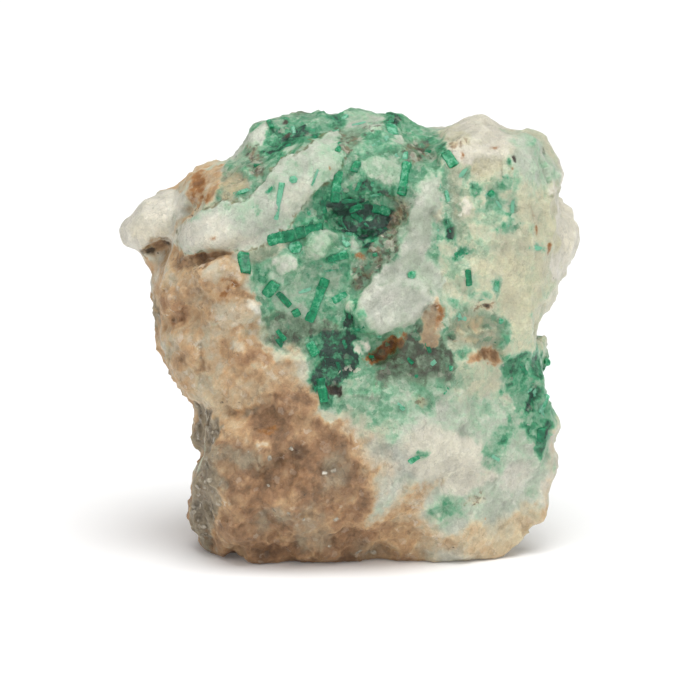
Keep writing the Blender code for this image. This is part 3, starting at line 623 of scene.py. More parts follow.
    "rust_hair_two": ("rust", 0.5, 0.3, 0.0, (536, 230), (0.07, 0.6), 10),
    "rust_spot": ("rusty speckle", 0.9, 0.8, -0.12, (484, 307), (1.3, 0.5), 0),
    "rust_spot_dark": ("dark grain", 0.7, 0.4, -0.1, (487, 306), (0.35, 0.2), 0),
    "low_dark": ("dark grain", 0.75, 0.35, -0.2, (451, 337), (0.35, 0.28), 0),
    "low_rust": ("rust", 0.6, 0.4, 0.0, (455, 340), (0.3, 0.15), -10),
    "low_olive": ("olive quartz", 0.90, 1.2, 0.0, (474, 331), (2.8, 1.9), 0),
    "low_crevice": ("rusty brown rock", 0.8, 0.9, -0.3, (492, 357), (1.1, 0.8), -30),
    "low_crevice_left": ("rusty brown rock", 0.8, 0.5, -0.2, (474, 357), (1.2, 0.6), 5),
    "low_crevice_green": ("green quartz", 0.7, 0.5, 0.0, (462, 352), (0.9, 0.5), 0),
    "flank_green": ("rich green quartz", 0.8, 0.5, 0.0, (543, 432), (0.7, 1.3), -8),
    "flank_dark": ("deep green quartz", 0.7, 0.5, 0.0, (533, 396), (0.5, 1.2), -15),
    "flank_cream": ("pink rock", 0.8, 0.5, 0.0, (560, 450), (0.9, 4.0), 2),
    "belly_olive": ("dull green quartz", 0.70, 0.9, 0.0, (276, 338), (2.6, 0.8), -18),
    "low_right_tan_finger": ("tan rock", 0.8, 1.2, 0.0, (418, 494), (3.0, 1.0), 36),
    "low_right_mint_finger": ("mint quartz", 0.8, 1.2, 0.0, (384, 500), (2.8, 0.9), 52),
    "low_right_cream_low": ("cream quartz", 0.6, 1.0, 0.0, (456, 560), (2.4, 0.8), -12),
    "foot_brown_a": ("brown rock", 0.7, 1.0, 0.0, (256, 488), (2.6, 0.9), 18),
    "foot_pale_a": ("pink rock", 0.5, 1.0, 0.05, (292, 500), (2.0, 0.7), 24),
    "foot_pale_b": ("grey pink rock", 0.7, 1.0, 0.0, (336, 470), (1.4, 2.4), -20),
    "foot_dark_a": ("dark brown rock", 0.45, 1.0, 0.0, (300, 456), (2.2, 0.7), 20),
    "foot_ochre_a": ("orange rock", 0.6, 1.0, 0.0, (336, 506), (1.6, 1.2), 0),
    "low_right_green_run": ("green quartz", 0.8, 0.8, 0.0, (498, 442), (3.2, 0.9), 58),
    "low_right_green_low": ("green quartz", 0.6, 1.4, 0.0, (446, 512), (1.8, 1.0), 20),
    "low_right_green_speck": ("rich green quartz", 0.8, 0.4, 0.0, (420, 456), (0.8, 0.5), 30),
    "low_right_pale": ("white quartz", 0.6, 0.9, 0.1, (516, 476), (1.8, 1.2), 40),
    "low_right_rust": ("rusty speckle", 0.7, 0.8, 0.0, (476, 500), (1.4, 0.5), 24),
    "low_right_rust_low": ("orange rock", 0.6, 0.9, 0.0, (404, 548), (2.0, 0.8), 14),
    "low_right_grey": ("grey pink rock", 0.7, 1.0, 0.0, (372, 552), (2.0, 1.0), -10),
    "low_right_dark": ("rusty speckle", 0.7, 0.8, -0.1, (420, 400), (1.2, 0.5), -14),
    "flank_low": ("pink rock", 0.8, 0.9, 0.0, (552, 488), (1.2, 2.2), -20),
    "flank_low_green": ("green quartz", 0.5, 0.4, 0.0, (556, 468), (0.25, 0.9), -8),
    "knee_tan": ("tan rock", 0.6, 0.9, 0.0, (540, 512), (1.0, 0.8), -30),
    "crevice_left": ("dark brown rock", 0.75, 0.6, -0.35, (201, 260), (2.8, 0.75), 14),
    "crevice_left_low": ("rusty speckle", 0.8, 0.8, -0.1, (192, 265), (1.8, 0.9), -20),
    "crevice_ochre": ("ochre rock", 0.7, 0.5, 0.0, (222, 250), (1.6, 0.5), -14),
    "left_pale": ("pale tan rock", 0.6, 0.8, 0.0, (176, 280), (2.2, 1.4), 0),
    "left_pink": ("pale tan rock", 0.5, 0.8, 0.0, (164, 270), (0.9, 1.0), 0),
    "left_orange": ("orange rock", 0.6, 0.8, 0.0, (190, 296), (1.6, 0.7), -10),
    # Painted highlight on the peach knob, where the light falls on its top.
    "peach_knob_highlight": ("painted peach highlight", 0.45, 0.6, 0.08, (213, 272), (0.9, 0.9), 0),
    "peach_crack": ("rust", 0.6, 0.4, -0.12, (233, 284), (0.9, 0.18), -24),
    "peach_crack_low": ("rust", 0.5, 0.4, -0.1, (225, 293), (0.8, 0.2), 60),
    "rusty_pit": ("orange rock", 0.8, 0.8, 0.25, (175, 317), (2.0, 1.4), -6),
    "rusty_pit_light": ("pale tan rock", 0.6, 0.4, 0.1, (174, 310), (0.6, 0.5), 0),
    "rusty_pit_dark": ("rusty brown rock", 0.7, 0.6, -0.1, (185, 318), (0.35, 0.8), -10),
    "rusty_pit_rim": ("dark speckle", 0.4, 0.5, 0.0, (168, 320), (1.2, 0.9), 0),
    "mica_edge": ("mica schist", 0.85, 0.4, -0.1, (152, 322), (0.45, 2.4), 0),
    "tongue_edge": ("white quartz", 0.7, 0.3, 0.12, (253, 309), (0.8, 0.3), -35),
    "tongue_chip": ("white quartz", 0.6, 0.3, 0.1, (260, 322), (0.4, 0.25), -20),
    "belly_pink_a": ("peach rock", 0.6, 0.9, 0.0, (258, 335), (1.8, 0.9), 0),
    "belly_pink_b": ("pale tan rock", 0.6, 0.9, 0.0, (205, 350), (2.6, 1.2), -30),
    "belly_pink_c": ("pale tan rock", 0.55, 0.9, 0.0, (192, 378), (1.8, 1.3), -40),
    "belly_chip_a": ("white quartz", 0.55, 0.4, 0.12, (238, 347), (0.9, 0.55), -15),
    "belly_chip_b": ("white quartz", 0.4, 0.4, 0.1, (168, 364), (0.8, 0.3), -40),
    "belly_green": ("ochre rock", 0.8, 0.6, 0.0, (290, 350), (1.2, 0.9), 0),
    "belly_orange": ("orange rock", 0.6, 1.0, 0.0, (272, 376), (2.6, 1.1), -14),
    "belly_dark": ("dark speckle", 0.7, 0.6, 0.0, (225, 405), (2.0, 0.4), 6),
    "belly_ochre": ("ochre rock", 0.7, 0.7, 0.0, (236, 418), (1.6, 0.7), -10),
    "belly_crease": ("grey brown rock", 0.9, 0.4, -0.3, (250, 411), (0.8, 0.24), 26),
    "waist_rust_a": ("orange rock", 0.8, 0.5, 0.0, (240, 433), (1.0, 0.4), 0),
    "waist_rust_b": ("rust", 0.55, 0.5, 0.0, (266, 430), (0.9, 0.3), 10),
    "waist_rust_c": ("orange rock", 0.6, 0.8, 0.0, (300, 430), (1.4, 1.6), 0),
    "waist_white": ("white quartz", 0.6, 0.4, 0.1, (262, 445), (0.9, 0.42), 4),
    "waist_white_b": ("white quartz", 0.35, 0.4, 0.08, (247, 440), (0.6, 0.4), 0),
    "grey_patch_a": ("grey brown rock", 0.8, 0.9, 0.0, (242, 458), (2.8, 0.9), -8),
    "grey_patch_b": ("grey brown rock", 0.7, 0.7, -0.1, (282, 513), (1.3, 0.9), -15),
    "grey_patch_c": ("grey brown rock", 0.6, 0.6, -0.1, (262, 524), (0.7, 0.9), 0),
    "foot_chip_a": ("white quartz", 0.4, 0.5, 0.1, (250, 482), (0.9, 0.4), 10),
    "foot_chip_b": ("white quartz", 0.35, 0.5, 0.1, (222, 470), (0.4, 0.6), 0),
    "foot_rust_a": ("rusty brown rock", 0.6, 0.8, 0.0, (302, 478), (0.9, 2.4), 0),
    "foot_rust_b": ("orange rock", 0.6, 0.6, 0.0, (288, 470), (0.7, 0.5), 0),
    "foot_rust_c": ("rusty brown rock", 0.6, 0.9, 0.0, (270, 546), (1.6, 0.7), 0),
    "foot_orange": ("orange rock", 0.5, 0.9, 0.0, (238, 508), (1.8, 1.2), 0),
    "foot_light": ("pale tan rock", 0.7, 0.5, 0.0, (220, 508), (0.45, 1.8), 0),
    "foot_pink": ("grey pink rock", 0.85, 1.0, 0.0, (312, 528), (2.0, 2.6), 0),
    "waist_silver": ("white quartz", 0.7, 0.3, 0.0, (208, 428), (0.12, 1.2), 6),
    "waist_brown": ("brown rock", 0.8, 0.4, 0.0, (204, 424), (0.2, 0.9), 0),
    "strip_pale": ("mint quartz", 0.4, 0.4, 0.0, (192, 494), (0.35, 1.5), -12),
}
print(len(ZONES), "zones and", len(SPOTS), "spots on the face")

# %% [markdown]
# ## Round the edges and on the back
# The picture ends at the outline, and the stone doesn't. Its sides, top and back get their
# minerals from soft ellipsoids in the stone itself, so a colour that reaches the outline carries
# on behind it: brown rock low on the left, cream on the right, green and milky quartz above.

# %% Minerals of the sides and the back: cover, edge, middle and half sizes in mm
BODY = {
    "whole": ("mixed quartz", 1.0, 1.0, (0, 0, 24), (60, 60, 60)),
    "milky_back": ("milky quartz", 0.85, 5.0, (2, 15, 30), (16, 9, 12)),
    "back_left_tan": ("tan rock", 0.9, 4.0, (-20, 10, 12), (13, 13, 17)),
    "back_low_tan": ("pale tan rock", 0.8, 4.0, (-2, 15, 4), (17, 9, 9)),
    "back_brown": ("brown rock", 0.8, 3.0, (-14, 14, 8), (7, 6, 7)),
    "back_ochre": ("ochre rock", 0.7, 3.0, (9, 15, 12), (6, 5, 6)),
    "left_tan": ("tan rock", 0.95, 4.0, (-21, -3, 21), (8, 11, 12)),
    "foot_brown": ("brown rock", 0.85, 3.0, (-9, -6, 3), (15, 11, 7)),
    "foot_ochre": ("ochre rock", 0.8, 3.0, (12, -6, 2), (14, 9, 5)),
    "left_brown": ("brown rock", 0.85, 3.0, (-22, -2, 9), (7, 9, 10)),
    "left_mica": ("mica schist", 0.80, 4.0, (-22, 3, 17), (4, 5, 8)),
    "left_orange": ("orange rock", 0.8, 3.0, (-18, 2, 36), (6, 6, 6)),
    "nub": ("white quartz", 0.95, 1.5, (-24, -2, 32), (6, 6, 5)),
    "top_green": ("grey green quartz", 0.8, 3.0, (0, 3, 45), (11, 7, 5)),
    "top_rich": ("green quartz", 0.7, 2.0, (-4, 0, 44), (5, 4, 4)),
    "top_pale": ("mint quartz", 0.8, 3.0, (12, 6, 44), (8, 7, 5)),
    "top_milky": ("milky quartz", 0.8, 2.4, (-11, 3, 44), (3.4, 7, 4)),
    "top_speckle": ("speckled quartz", 0.8, 1.8, (-5, 6, 45), (2.4, 3, 4)),
    "knob_top": ("cream quartz", 0.9, 2.6, (14, 1, 46), (4.4, 6, 5)),
    "back_green": ("grey green quartz", 0.85, 3.6, (6, 15, 34), (5, 4, 4)),
    "back_green_low": ("green quartz", 0.8, 2.6, (-4, 16, 23), (3.4, 4, 2.6)),
    "back_green_run": ("grey green quartz", 0.8, 2.6, (-6, 14, 34), (5, 5, 7)),
    "back_rust": ("rusty brown rock", 0.8, 1.6, (-9, 15, 17), (3, 4, 2.5)),
    "right_cream": ("cream quartz", 0.9, 4.0, (24, 2, 32), (8, 12, 12)),
    "right_green": ("green quartz", 0.8, 3.6, (21, 4, 18), (5, 5, 5)),
    "right_low": ("pale tan rock", 0.8, 4.0, (20, 4, 5), (8, 10, 9)),
    "right_speckle": ("speckled quartz", 0.6, 2.0, (23, 7, 26), (4, 3, 4)),
}
print(len(BODY), "mineral bodies")

# %% [markdown]
# ## Broken surfaces
# Quartz breaks in shallow scoops that meet in sharp ridges. Each layer of scoops here comes from
# cells about as large as the grains: every cell holds one tilted bowl, and the surface takes
# whichever bowl lies lowest, so neighbours meet in a ridge with no gap. The same cells give every
# scoop a number, which makes neighbouring grains slightly lighter or darker and lets the edge of a
# mineral patch follow the grains.

# %% Scoops, noise and soft steps
NEIGHBOURS = [(x, y, z) for x in (-1, 0, 1) for y in (-1, 0, 1) for z in (-1, 0, 1)]


def soft_step(value, low, high):
    """0 up to low, 1 from high on, and a smooth curve in between."""
    share = np.clip((value - low) / (high - low), 0.0, 1.0)
    return share * share * (3 - 2 * share)


def cell_numbers(cells, seed):
    """Six even random numbers from 0 to 1 for each cell, the same on every run."""
    mixed = cells[:, 0] * 73856093 ^ cells[:, 1] * 19349663 ^ cells[:, 2] * 83492791
    mixed = (mixed ^ seed * 2654435761) & 0xFFFFFFFF
    numbers = []
    for _ in range(6):
        mixed = ((mixed ^ (mixed >> 15)) * 0x2C1B3C6D) & 0xFFFFFFFF
        mixed = ((mixed ^ (mixed >> 12)) * 0x297A2D39) & 0xFFFFFFFF
        mixed ^= mixed >> 15
        numbers.append(mixed / 0xFFFFFFFF)
    return np.stack(numbers, 1)


def scoops(points, size, tilt, bowl, seed):
    """Height in mm of broken scoops about size mm wide, and each scoop's own number."""
    scaled = points / size
    home = np.floor(scaled).astype(np.int64)
    height = np.full(len(points), 99.0)
    number = np.zeros(len(points))
    for step in NEIGHBOURS:
        cells = home + step
        numbers = cell_numbers(cells, seed)
        offset = scaled - cells - numbers[:, :3]
        slope = (numbers[:, 3:] * 2 - 1) * tilt
        own = (offset * slope).sum(1) + bowl * (offset ** 2).sum(1)
        lower = own < height
        height[lower] = own[lower]
        number[lower] = numbers[lower, 5]
    return (height - height.mean()) * size, number


def ripples(points, size, seed, octaves=3):
    """Noise of about -1 to 1 whose largest lumps are size mm wide."""
    shift = np.array((7.3, 3.1, 5.7)) * seed
    return np.array([noise.fractal(p, 0.8, 2.1, octaves) for p in points / size + shift])


points = np.empty(len(skin.vertices) * 3)
skin.vertices.foreach_get("co", points)
points = points.reshape(-1, 3) / MM
normals = np.empty(len(skin.vertices) * 3)
skin.vertices.foreach_get("normal", normals)
normals = normals.reshape(-1, 3)
coarse, coarse_number = scoops(points, size=3.2, tilt=0.26, bowl=0.16, seed=5)
medium, medium_number = scoops(points, size=1.3, tilt=0.30, bowl=0.20, seed=11)
fine, fine_number = scoops(points, size=0.65, tilt=0.28, bowl=0.24, seed=23)
print("scoop heights:", [round(float(layer.std()), 3) for layer in (coarse, medium, fine)], "mm")

# %% [markdown]
# ## Painting the channels
# The distance from a patch's outline, nudged by noise and by the grain it falls on, becomes a
# soft-edged cover. Painting moves every channel that the mineral names towards its level.

# %% Distance from outlines and ellipses
def outline_distance(u, v, outline):
    """Distance in mm from an outline, positive inside it."""
    corners = [on_face(x, y) for x, y in outline]
    distance = np.full(len(u), 999.0)
    inside = np.zeros(len(u), bool)
    for start, end in zip(corners, corners[1:] + corners[:1]):
        edge = end - start
        along = ((u - start[0]) * edge[0] + (v - start[1]) * edge[1]) / (edge @ edge)
        along = np.clip(along, 0, 1)
        gap = np.hypot(u - start[0] - along * edge[0], v - start[1] - along * edge[1])
        distance = np.minimum(distance, gap)
        if start[1] != end[1]:
            crossing = start[0] + (v - start[1]) * edge[0] / edge[1]
            inside ^= ((start[1] > v) != (end[1] > v)) & (u < crossing)
    return np.where(inside, distance, -distance)


def spot_distance(u, v, middle, sizes, turn):
    """About the distance in mm from an ellipse, positive inside it."""
    centre = on_face(*middle)
    angle = math.radians(turn)
    along = (u - centre[0]) * math.cos(angle) + (v - centre[1]) * math.sin(angle)
    across = (v - centre[1]) * math.cos(angle) - (u - centre[0]) * math.sin(angle)
    return (1 - np.hypot(along / sizes[0], across / sizes[1])) * min(sizes)


def paint(levels, mineral, cover):
    """Moves the mineral's channels towards its levels, where cover is 1 all the way."""
    for channel, level in MINERALS[mineral].items():
        levels[channel] += (level - levels[channel]) * cover


# %% How patch edges wander
facing = -(normals @ AWAY)
slanting_off = soft_step(-facing, -0.50, -0.05)
face_u, face_v = face_positions(points)
warp_wide = [ripples(points, size=2.6, seed=seed) for seed in (1, 2)]
warp_tight = [ripples(points, size=0.8, seed=seed, octaves=2) for seed in (3, 4)]
grain_nudge = (medium_number - 0.5) * 0.34 + (fine_number - 0.5) * 0.20
fraying = ripples(points, size=0.55, seed=6)


def wandering(edge, slant_share=1.0):
    """Face positions moved by noise, further at a soft edge and where the rock slants off."""
    far = 0.16 + 0.42 * edge + 1.9 * slant_share * slanting_off
    near = 0.10 + 0.08 * edge + 0.5 * slant_share * slanting_off
    return (face_u + far * warp_wide[0] + near * warp_tight[0],
            face_v + far * warp_wide[1] + near * warp_tight[1])


hard_edge_shift = wandering(0.0)[0] - face_u
print("a hard edge wanders by about", round(float(hard_edge_shift.std()), 2), "mm")

# %% Paint the bodies
body_levels = {name: np.zeros(len(points)) for name in BARE}
for mineral, cover, edge, middle, sizes in BODY.values():
    offset = (points - np.array(middle)) / np.array(sizes)
    distance = (1 - np.sqrt((offset ** 2).sum(1))) * min(sizes)
    distance += 1.6 * warp_wide[0] + 0.8 * warp_tight[1] + 2 * grain_nudge
    paint(body_levels, mineral, cover * soft_step(distance, -edge / 2, edge / 2))
print("bodies painted:", len(BODY))

# %% Paint the zones of the face, then its spots
CALM_ZONES = ("pale_slab", "white_block", "pale_band", "cream_knob", "right_ledge",
              "white_fragments", "left_top_block", "translucent_field")
SEAM_AND_SHADOW_OUTSIDE = 0.10
SEAM_AND_SHADOW_WIDTH = 0.20
face_levels = {name: levels_here.copy() for name, levels_here in body_levels.items()}
rise = np.zeros(len(points))
calm = np.zeros(len(points))
for name, (mineral, cover, edge, lift, outline) in ZONES.items():
    distance = outline_distance(*wandering(edge), outline) + grain_nudge + 0.18 * fraying
    share = soft_step(distance, -edge / 2, edge / 2)
    calm = np.maximum(calm * (1 - share), share * (name in CALM_ZONES))
    paint(face_levels, mineral, cover * share)
    rise += lift * share
    if name == "pale_slab":
        # Painted shadow: a dark band just outside the raised slab's edge, partly its real seam and
        # partly the shadow at the slab's foot.
        seam_and_shadow = np.exp(-((distance + SEAM_AND_SHADOW_OUTSIDE) / SEAM_AND_SHADOW_WIDTH) ** 2)
        face_levels["slab_seam_and_shadow"] = np.maximum(face_levels["slab_seam_and_shadow"] * (1 - share), seam_and_shadow)
for mineral, cover, edge, lift, middle, sizes, turn in SPOTS.values():
    narrow = min(sizes)
    distance = spot_distance(*wandering(0.5 * edge, 0.35), middle, sizes, turn)
    distance += grain_nudge * min(0.4, narrow) + fraying * min(0.30, 0.5 * narrow)
    soft = 0.7 * min(edge, 0.12 + 1.2 * narrow)
    share = soft_step(distance, -soft, soft)
    paint(face_levels, mineral, cover * share * np.clip(0.9 + 0.5 * warp_tight[0], 0, 1))
    rise += lift * share
print("the seam round the slab is", SEAM_AND_SHADOW_WIDTH, "mm wide")

# %% Join face and bodies, and let each grain differ
on_front = soft_step(facing, -0.05, 0.33)
levels = {
    name: body_levels[name] + (face_levels[name] - body_levels[name]) * on_front for name in BARE
}
for name, swing in (("green", 0.80), ("stain", 0.40), ("cream", 0.30), ("grey", 0.60)):
    levels[name] *= 1 + swing * (0.6 * medium_number + 0.4 * coarse_number - 0.5)
print("green covers", round(float((levels["green"] > 0.5).mean()) * 100), "% of the stone")

# %% [markdown]
# ## Raising the surface
# The scoops, the patches that stand proud and the crumbly grain of the stained rock move the
# skin's points along their normals. Close round a crystal the rock laps up against its sides, and
# under it the rock stays down, so that nothing pokes through. The underside stays flat.

# %% Heights by mineral
LEDGE_TURN = np.array(((0.45, 0.0, 0.9), (0.0, 0.8, 0.0), (-0.5, 0.0, 0.45)))
LEDGE_LEVEL = 0.35
MICA_LAYERS = np.array((2.2, 0.6, 0.9)) * 3.4
MICA_LAYER_HEIGHT = 0.10
CALM_SHARE = 0.55
NUB_MIDDLE = np.array((-22.0, -2.5, 33.0))
NUB_REACH = 6.0
NUB_SMOOTHING = 0.6

stained = np.clip(levels["stain"] * 1.6 + levels["mica"] * 0.5, 0, 1)
at_edge = soft_step(-np.abs(facing), -0.5, -0.1)
grain = ripples(points, size=0.55, seed=9)
lumps = ripples(points, size=2.2, seed=8, octaves=4)
ledges = LEDGE_LEVEL - np.abs(ripples(points @ LEDGE_TURN, size=1.7, seed=7))
RELIEF = (
    (coarse, 1.1, 0.1, 0.0),
    (medium, 0.75, 0.15, 0.5),
    (fine, 0.55, 0.45, 0.4),
    (grain, 0.030, 0.060, 0.0),
    (lumps, 0.08, 0.14, 0.0),
    (ledges, 0.04, 0.20, 0.0),
)
height = np.zeros(len(points))
for layer, everywhere, where_stained, where_edge in RELIEF:
    height += layer * (everywhere + where_stained * stained + where_edge * at_edge)
layered = MICA_LAYER_HEIGHT * np.sin(points @ MICA_LAYERS + 1.5 * warp_wide[0])
height += layered * np.clip(levels["mica"], 0, 1)
height *= 1 - CALM_SHARE * calm * on_front
height += rise * on_front
near_nub = soft_step(NUB_REACH - np.linalg.norm(points - NUB_MIDDLE, axis=1), 0, 2)
height *= 1 - NUB_SMOOTHING * near_nub
print("relief before the rims:", round(float(height.std()), 3), "mm")

# %% The rock laps up against the crystals
RIM_REACH = 0.80
RIM_SHARE = 0.27
RIM_AT_ENDS = 0.08
DOWN_UNDER = 0.12
BASE_LOW, BASE_HIGH = 0.15, 1.2
for crystal in crystals:
    offset = points - crystal.centre
    along = np.abs(offset @ crystal.axis) - crystal.length / 2
    across = np.linalg.norm(offset - np.outer(offset @ crystal.axis, crystal.axis), axis=1)
    gap = np.maximum(along, across - crystal.width / 2)
    around = (gap > 0.1) & (gap < 0.9)
    crystal.facing = normals[around].mean(0)
    crystal.lift = float(height[around].mean())
    lap = RIM_AT_ENDS if crystal.goes_in else RIM_SHARE * crystal.width
    beside = soft_step(-gap, -RIM_REACH, -0.05)
    level_rock = (crystal.lift - height) * 0.6 * beside
    height += level_rock + lap * beside * (0.7 + 0.6 * medium_number)
    under = soft_step(-gap + 0.10 * (fine_number - 0.5), 0.10, 0.30)
    height += (crystal.lift - DOWN_UNDER - height) * under
height *= soft_step(points[:, 2], BASE_LOW, BASE_HIGH)
moved = points + normals * height[:, None]
moved[:, 2] = np.maximum(moved[:, 2], 0.0)
skin.vertices.foreach_set("co", (moved * MM).ravel())
skin.update()
skin.shade_smooth()
print("raised by", round(float(height.min()), 2), "to", round(float(height.max()), 2), "mm")


# %% Store what the material reads
def unit(vector):
    """The same direction, one unit long."""
    return vector / np.linalg.norm(vector)


def store(mesh, name, values):
    """Keeps one value for each point of the mesh, under a name that a material can read."""
    layer = mesh.attributes.new(name, "FLOAT", "POINT")
    layer.data.foreach_set("value", np.asarray(values, dtype=np.float32))


for name in BARE:
    store(skin, name, np.clip(levels[name], 0, 1))
# Painted shade: the low spots of the relief, more so on stained rock, are stored here to be
# darkened in the material.
hollow_shade_share = soft_step(-(medium * 1.2 + fine * 1.6 + rise * 0.7 + grain * 0.06), 0.02, 0.26)
hollow_shade_share *= 0.5 + 0.5 * stained
store(skin, "hollow_shade", hollow_shade_share)
store(skin, "tone", 0.45 * coarse_number + 0.35 * medium_number + 0.2 * fine_number)
print("stored", len(BARE) + 2, "attributes")

# %% [markdown]
# ## Rock material
# Quartz and feldspar are glassy and let light in a little way, so a broken face looks milky and
# soft with small glints. Iron stain turns it tan to brown and dulls it. Each channel becomes a
# layer of colour over the milky base. Noise at grain scale breaks up every layer's edge, small
# cells make flecks, and thin dark lines are healed cracks. The dark line round the slab is partly
# its seam and partly painted shadow at its raised edge. Hollows get painted shade, and dust and
# chips get painted glints.

# %% Colour layers: channel, its pattern, how much that varies it, most cover, colours by level
MILKY = [(0.32, "#9fa996"), (0.50, "#b9bfb0"), (0.66, "#cfd0c3")]
LAYERS = (
    ("cream", "broad", 0.5, 1.0, [(0.2, "#c9c6ae"), (0.8, "#d0caab")]),
    ("white", "mottle", 0.5, 0.72, [(0.2, "#d2d0c4"), (0.9, "#e3dbcb")]),
    ("green", "mottle", 0.55, 1.0, [
        (0.05, "#c1ceb6"), (0.22, "#a9c4a7"), (0.42, "#7fac8c"), (0.60, "#46976e"),
        (0.76, "#21764e"), (0.90, "#155039"), (1.0, "#0f3628")]),
    ("grey", "mottle", 0.6, 0.62, [(0.2, "#8f9880"), (1.0, "#4c5a44")]),
    ("stain", "broad", 0.5, 1.0, [
        (0.08, "#d6cab4"), (0.22, "#d0b894"), (0.40, "#bf9d75"), (0.58, "#a27d5a"),
        (0.78, "#7c5c3e"), (1.0, "#523a25")]),
    ("mica", "broad", 0.8, 1.0, [(0.1, "#a8997e"), (0.6, "#9a8c74"), (1.0, "#857862")]),
    ("rust", "mottle", 0.8, 1.0, [(0.1, "#ab7840"), (0.7, "#87561f"), (1.0, "#64401b")]),
    ("dark", "mottle", 0.6, 1.0, [(0.1, "#4f4636"), (1.0, "#2a231a")]),
)
# Olive brown of the slab's seam, which also stands in for the shadow at the foot of the raised
# slab.
SEAM_AND_SHADOW_COLOUR = "#77704a"
print(len(LAYERS), "layers of colour over the milky quartz")

# %% Flecks: channel, size in mm, seed, colour, strength
FLECK_COLOURS = (
    ("green_flecks", 0.75, 31, "#3f8a64", 0.70),
    ("brown_flecks", 0.50, 71, "#82674a", 0.60),
    ("dark_flecks", 0.36, 47, "#4a4030", 0.70),
    ("pale_flecks", 0.56, 59, "#dad2c2", 0.55),
)
print(len(FLECK_COLOURS), "kinds of fleck")

# %% Sizes of the rock's patterns in mm, and the quartz's values
# The quartz and feldspar are sugary, in grains of about half a millimetre, and split into chips
# a little smaller. Crushed quartz leaves a dust much finer than 0.18 mm, which is drawn that
# coarse so that it shows; the same noise also makes painted glints in the colour. The streaks
# lean like the slab and are four times longer than wide.
GRAIN_SIZE = 0.53
CLOUD_SIZE = 2.4
DUST_AND_GLINT_SIZE = 0.18
PATCH_SIZE = 1.05
STREAK_SIZE = 1.6
STREAK_TURN = -0.87
STREAK_STRETCH = (2.4, 1.0, 0.6)
RAGGED_SIZE = 0.36
RAGGED_REACH = 0.7
GROWN_SIZE = 0.87
CHIP_SIZE = 0.38
CHIP_LEAN = 0.32
PIT_DEPTH = 0.20
CRACK_SPACING = 1.6
CRACK_WIDTH = 0.072
CRACK_DARKNESS = 0.22
QUARTZ_IOR = 1.54
print("grains of", GRAIN_SIZE, "mm, cracks about", CRACK_SPACING, "mm apart")


# %% Patterns that the rock's layers share
def rock_patterns(tree, in_mm):
    """Clouds, grains and streaks of the rock, and broken cells, by the sizes given above."""
    grain = add_node(tree, "TexNoise", {"Vector": in_mm, "Scale": 1 / GRAIN_SIZE, "Detail": 5.0,
                                        "Roughness": 0.62})
    cloud = add_node(tree, "TexNoise", {"Vector": in_mm, "Scale": 1 / CLOUD_SIZE, "Detail": 4.0})
    # Fine dust noise, which also gives the painted glints in rock_shade.
    dust_and_glints = add_node(tree, "TexNoise", {"Vector": in_mm, "Scale": 1 / DUST_AND_GLINT_SIZE, "Detail": 3.0,
                                       "Roughness": 0.7})
    patch = add_node(tree, "TexNoise", {"Vector": in_mm, "Scale": 1 / PATCH_SIZE, "Detail": 3.0,
                                        "Distortion": 0.6})
    drawn_out = add_node(tree, "Mapping", {"Vector": in_mm, "Rotation": (0.0, STREAK_TURN, 0.0),
                                           "Scale": STREAK_STRETCH}, vector_type="TEXTURE")
    streaks = add_node(tree, "TexNoise", {"Vector": drawn_out, "Scale": 1 / STREAK_SIZE,
                                          "Detail": 4.0, "Roughness": 0.6, "Distortion": 0.4})
    jitter = add_node(tree, "TexNoise", {"Vector": in_mm, "Scale": 1 / RAGGED_SIZE,
                                         "Detail": 3.0}, out="Color")
    ragged = add_node(tree, "VectorMath", {0: jitter, 1: (RAGGED_REACH,) * 3, 2: in_mm},
                      operation="MULTIPLY_ADD")
    grown = add_node(tree, "TexVoronoi", {"Vector": ragged, "Scale": 1 / GROWN_SIZE}, out="Color")
    grown = add_node(tree, "SeparateColor", {0: grown})
    chips = add_node(tree, "TexVoronoi", {"Vector": ragged, "Scale": 1 / CHIP_SIZE}, out="Color")
    clouded = add_node(tree, "Math", {0: grain, 1: 0.30, 2: cloud}, operation="MULTIPLY_ADD")
    clouded = add_node(tree, "Math", {0: streaks, 1: 0.65, 2: clouded}, operation="MULTIPLY_ADD")
    milky = add_node(tree, "Math", {0: clouded, 1: 0.475}, operation="SUBTRACT")
    broad = add_node(tree, "Math", {0: milky, 1: 0.45}, operation="ADD")
    mottle = add_node(tree, "Math", {0: patch, 1: 0.6, 2: grain}, operation="MULTIPLY_ADD")
    mottle = add_node(tree, "Math", {0: grown, 1: 0.34, 2: mottle}, operation="MULTIPLY_ADD")
    return {"grain": grain, "cloud": cloud, "dust_and_glints": dust_and_glints, "ragged": ragged, "chips": chips,
            "milky": milky, "broad": broad, "mottle": mottle}
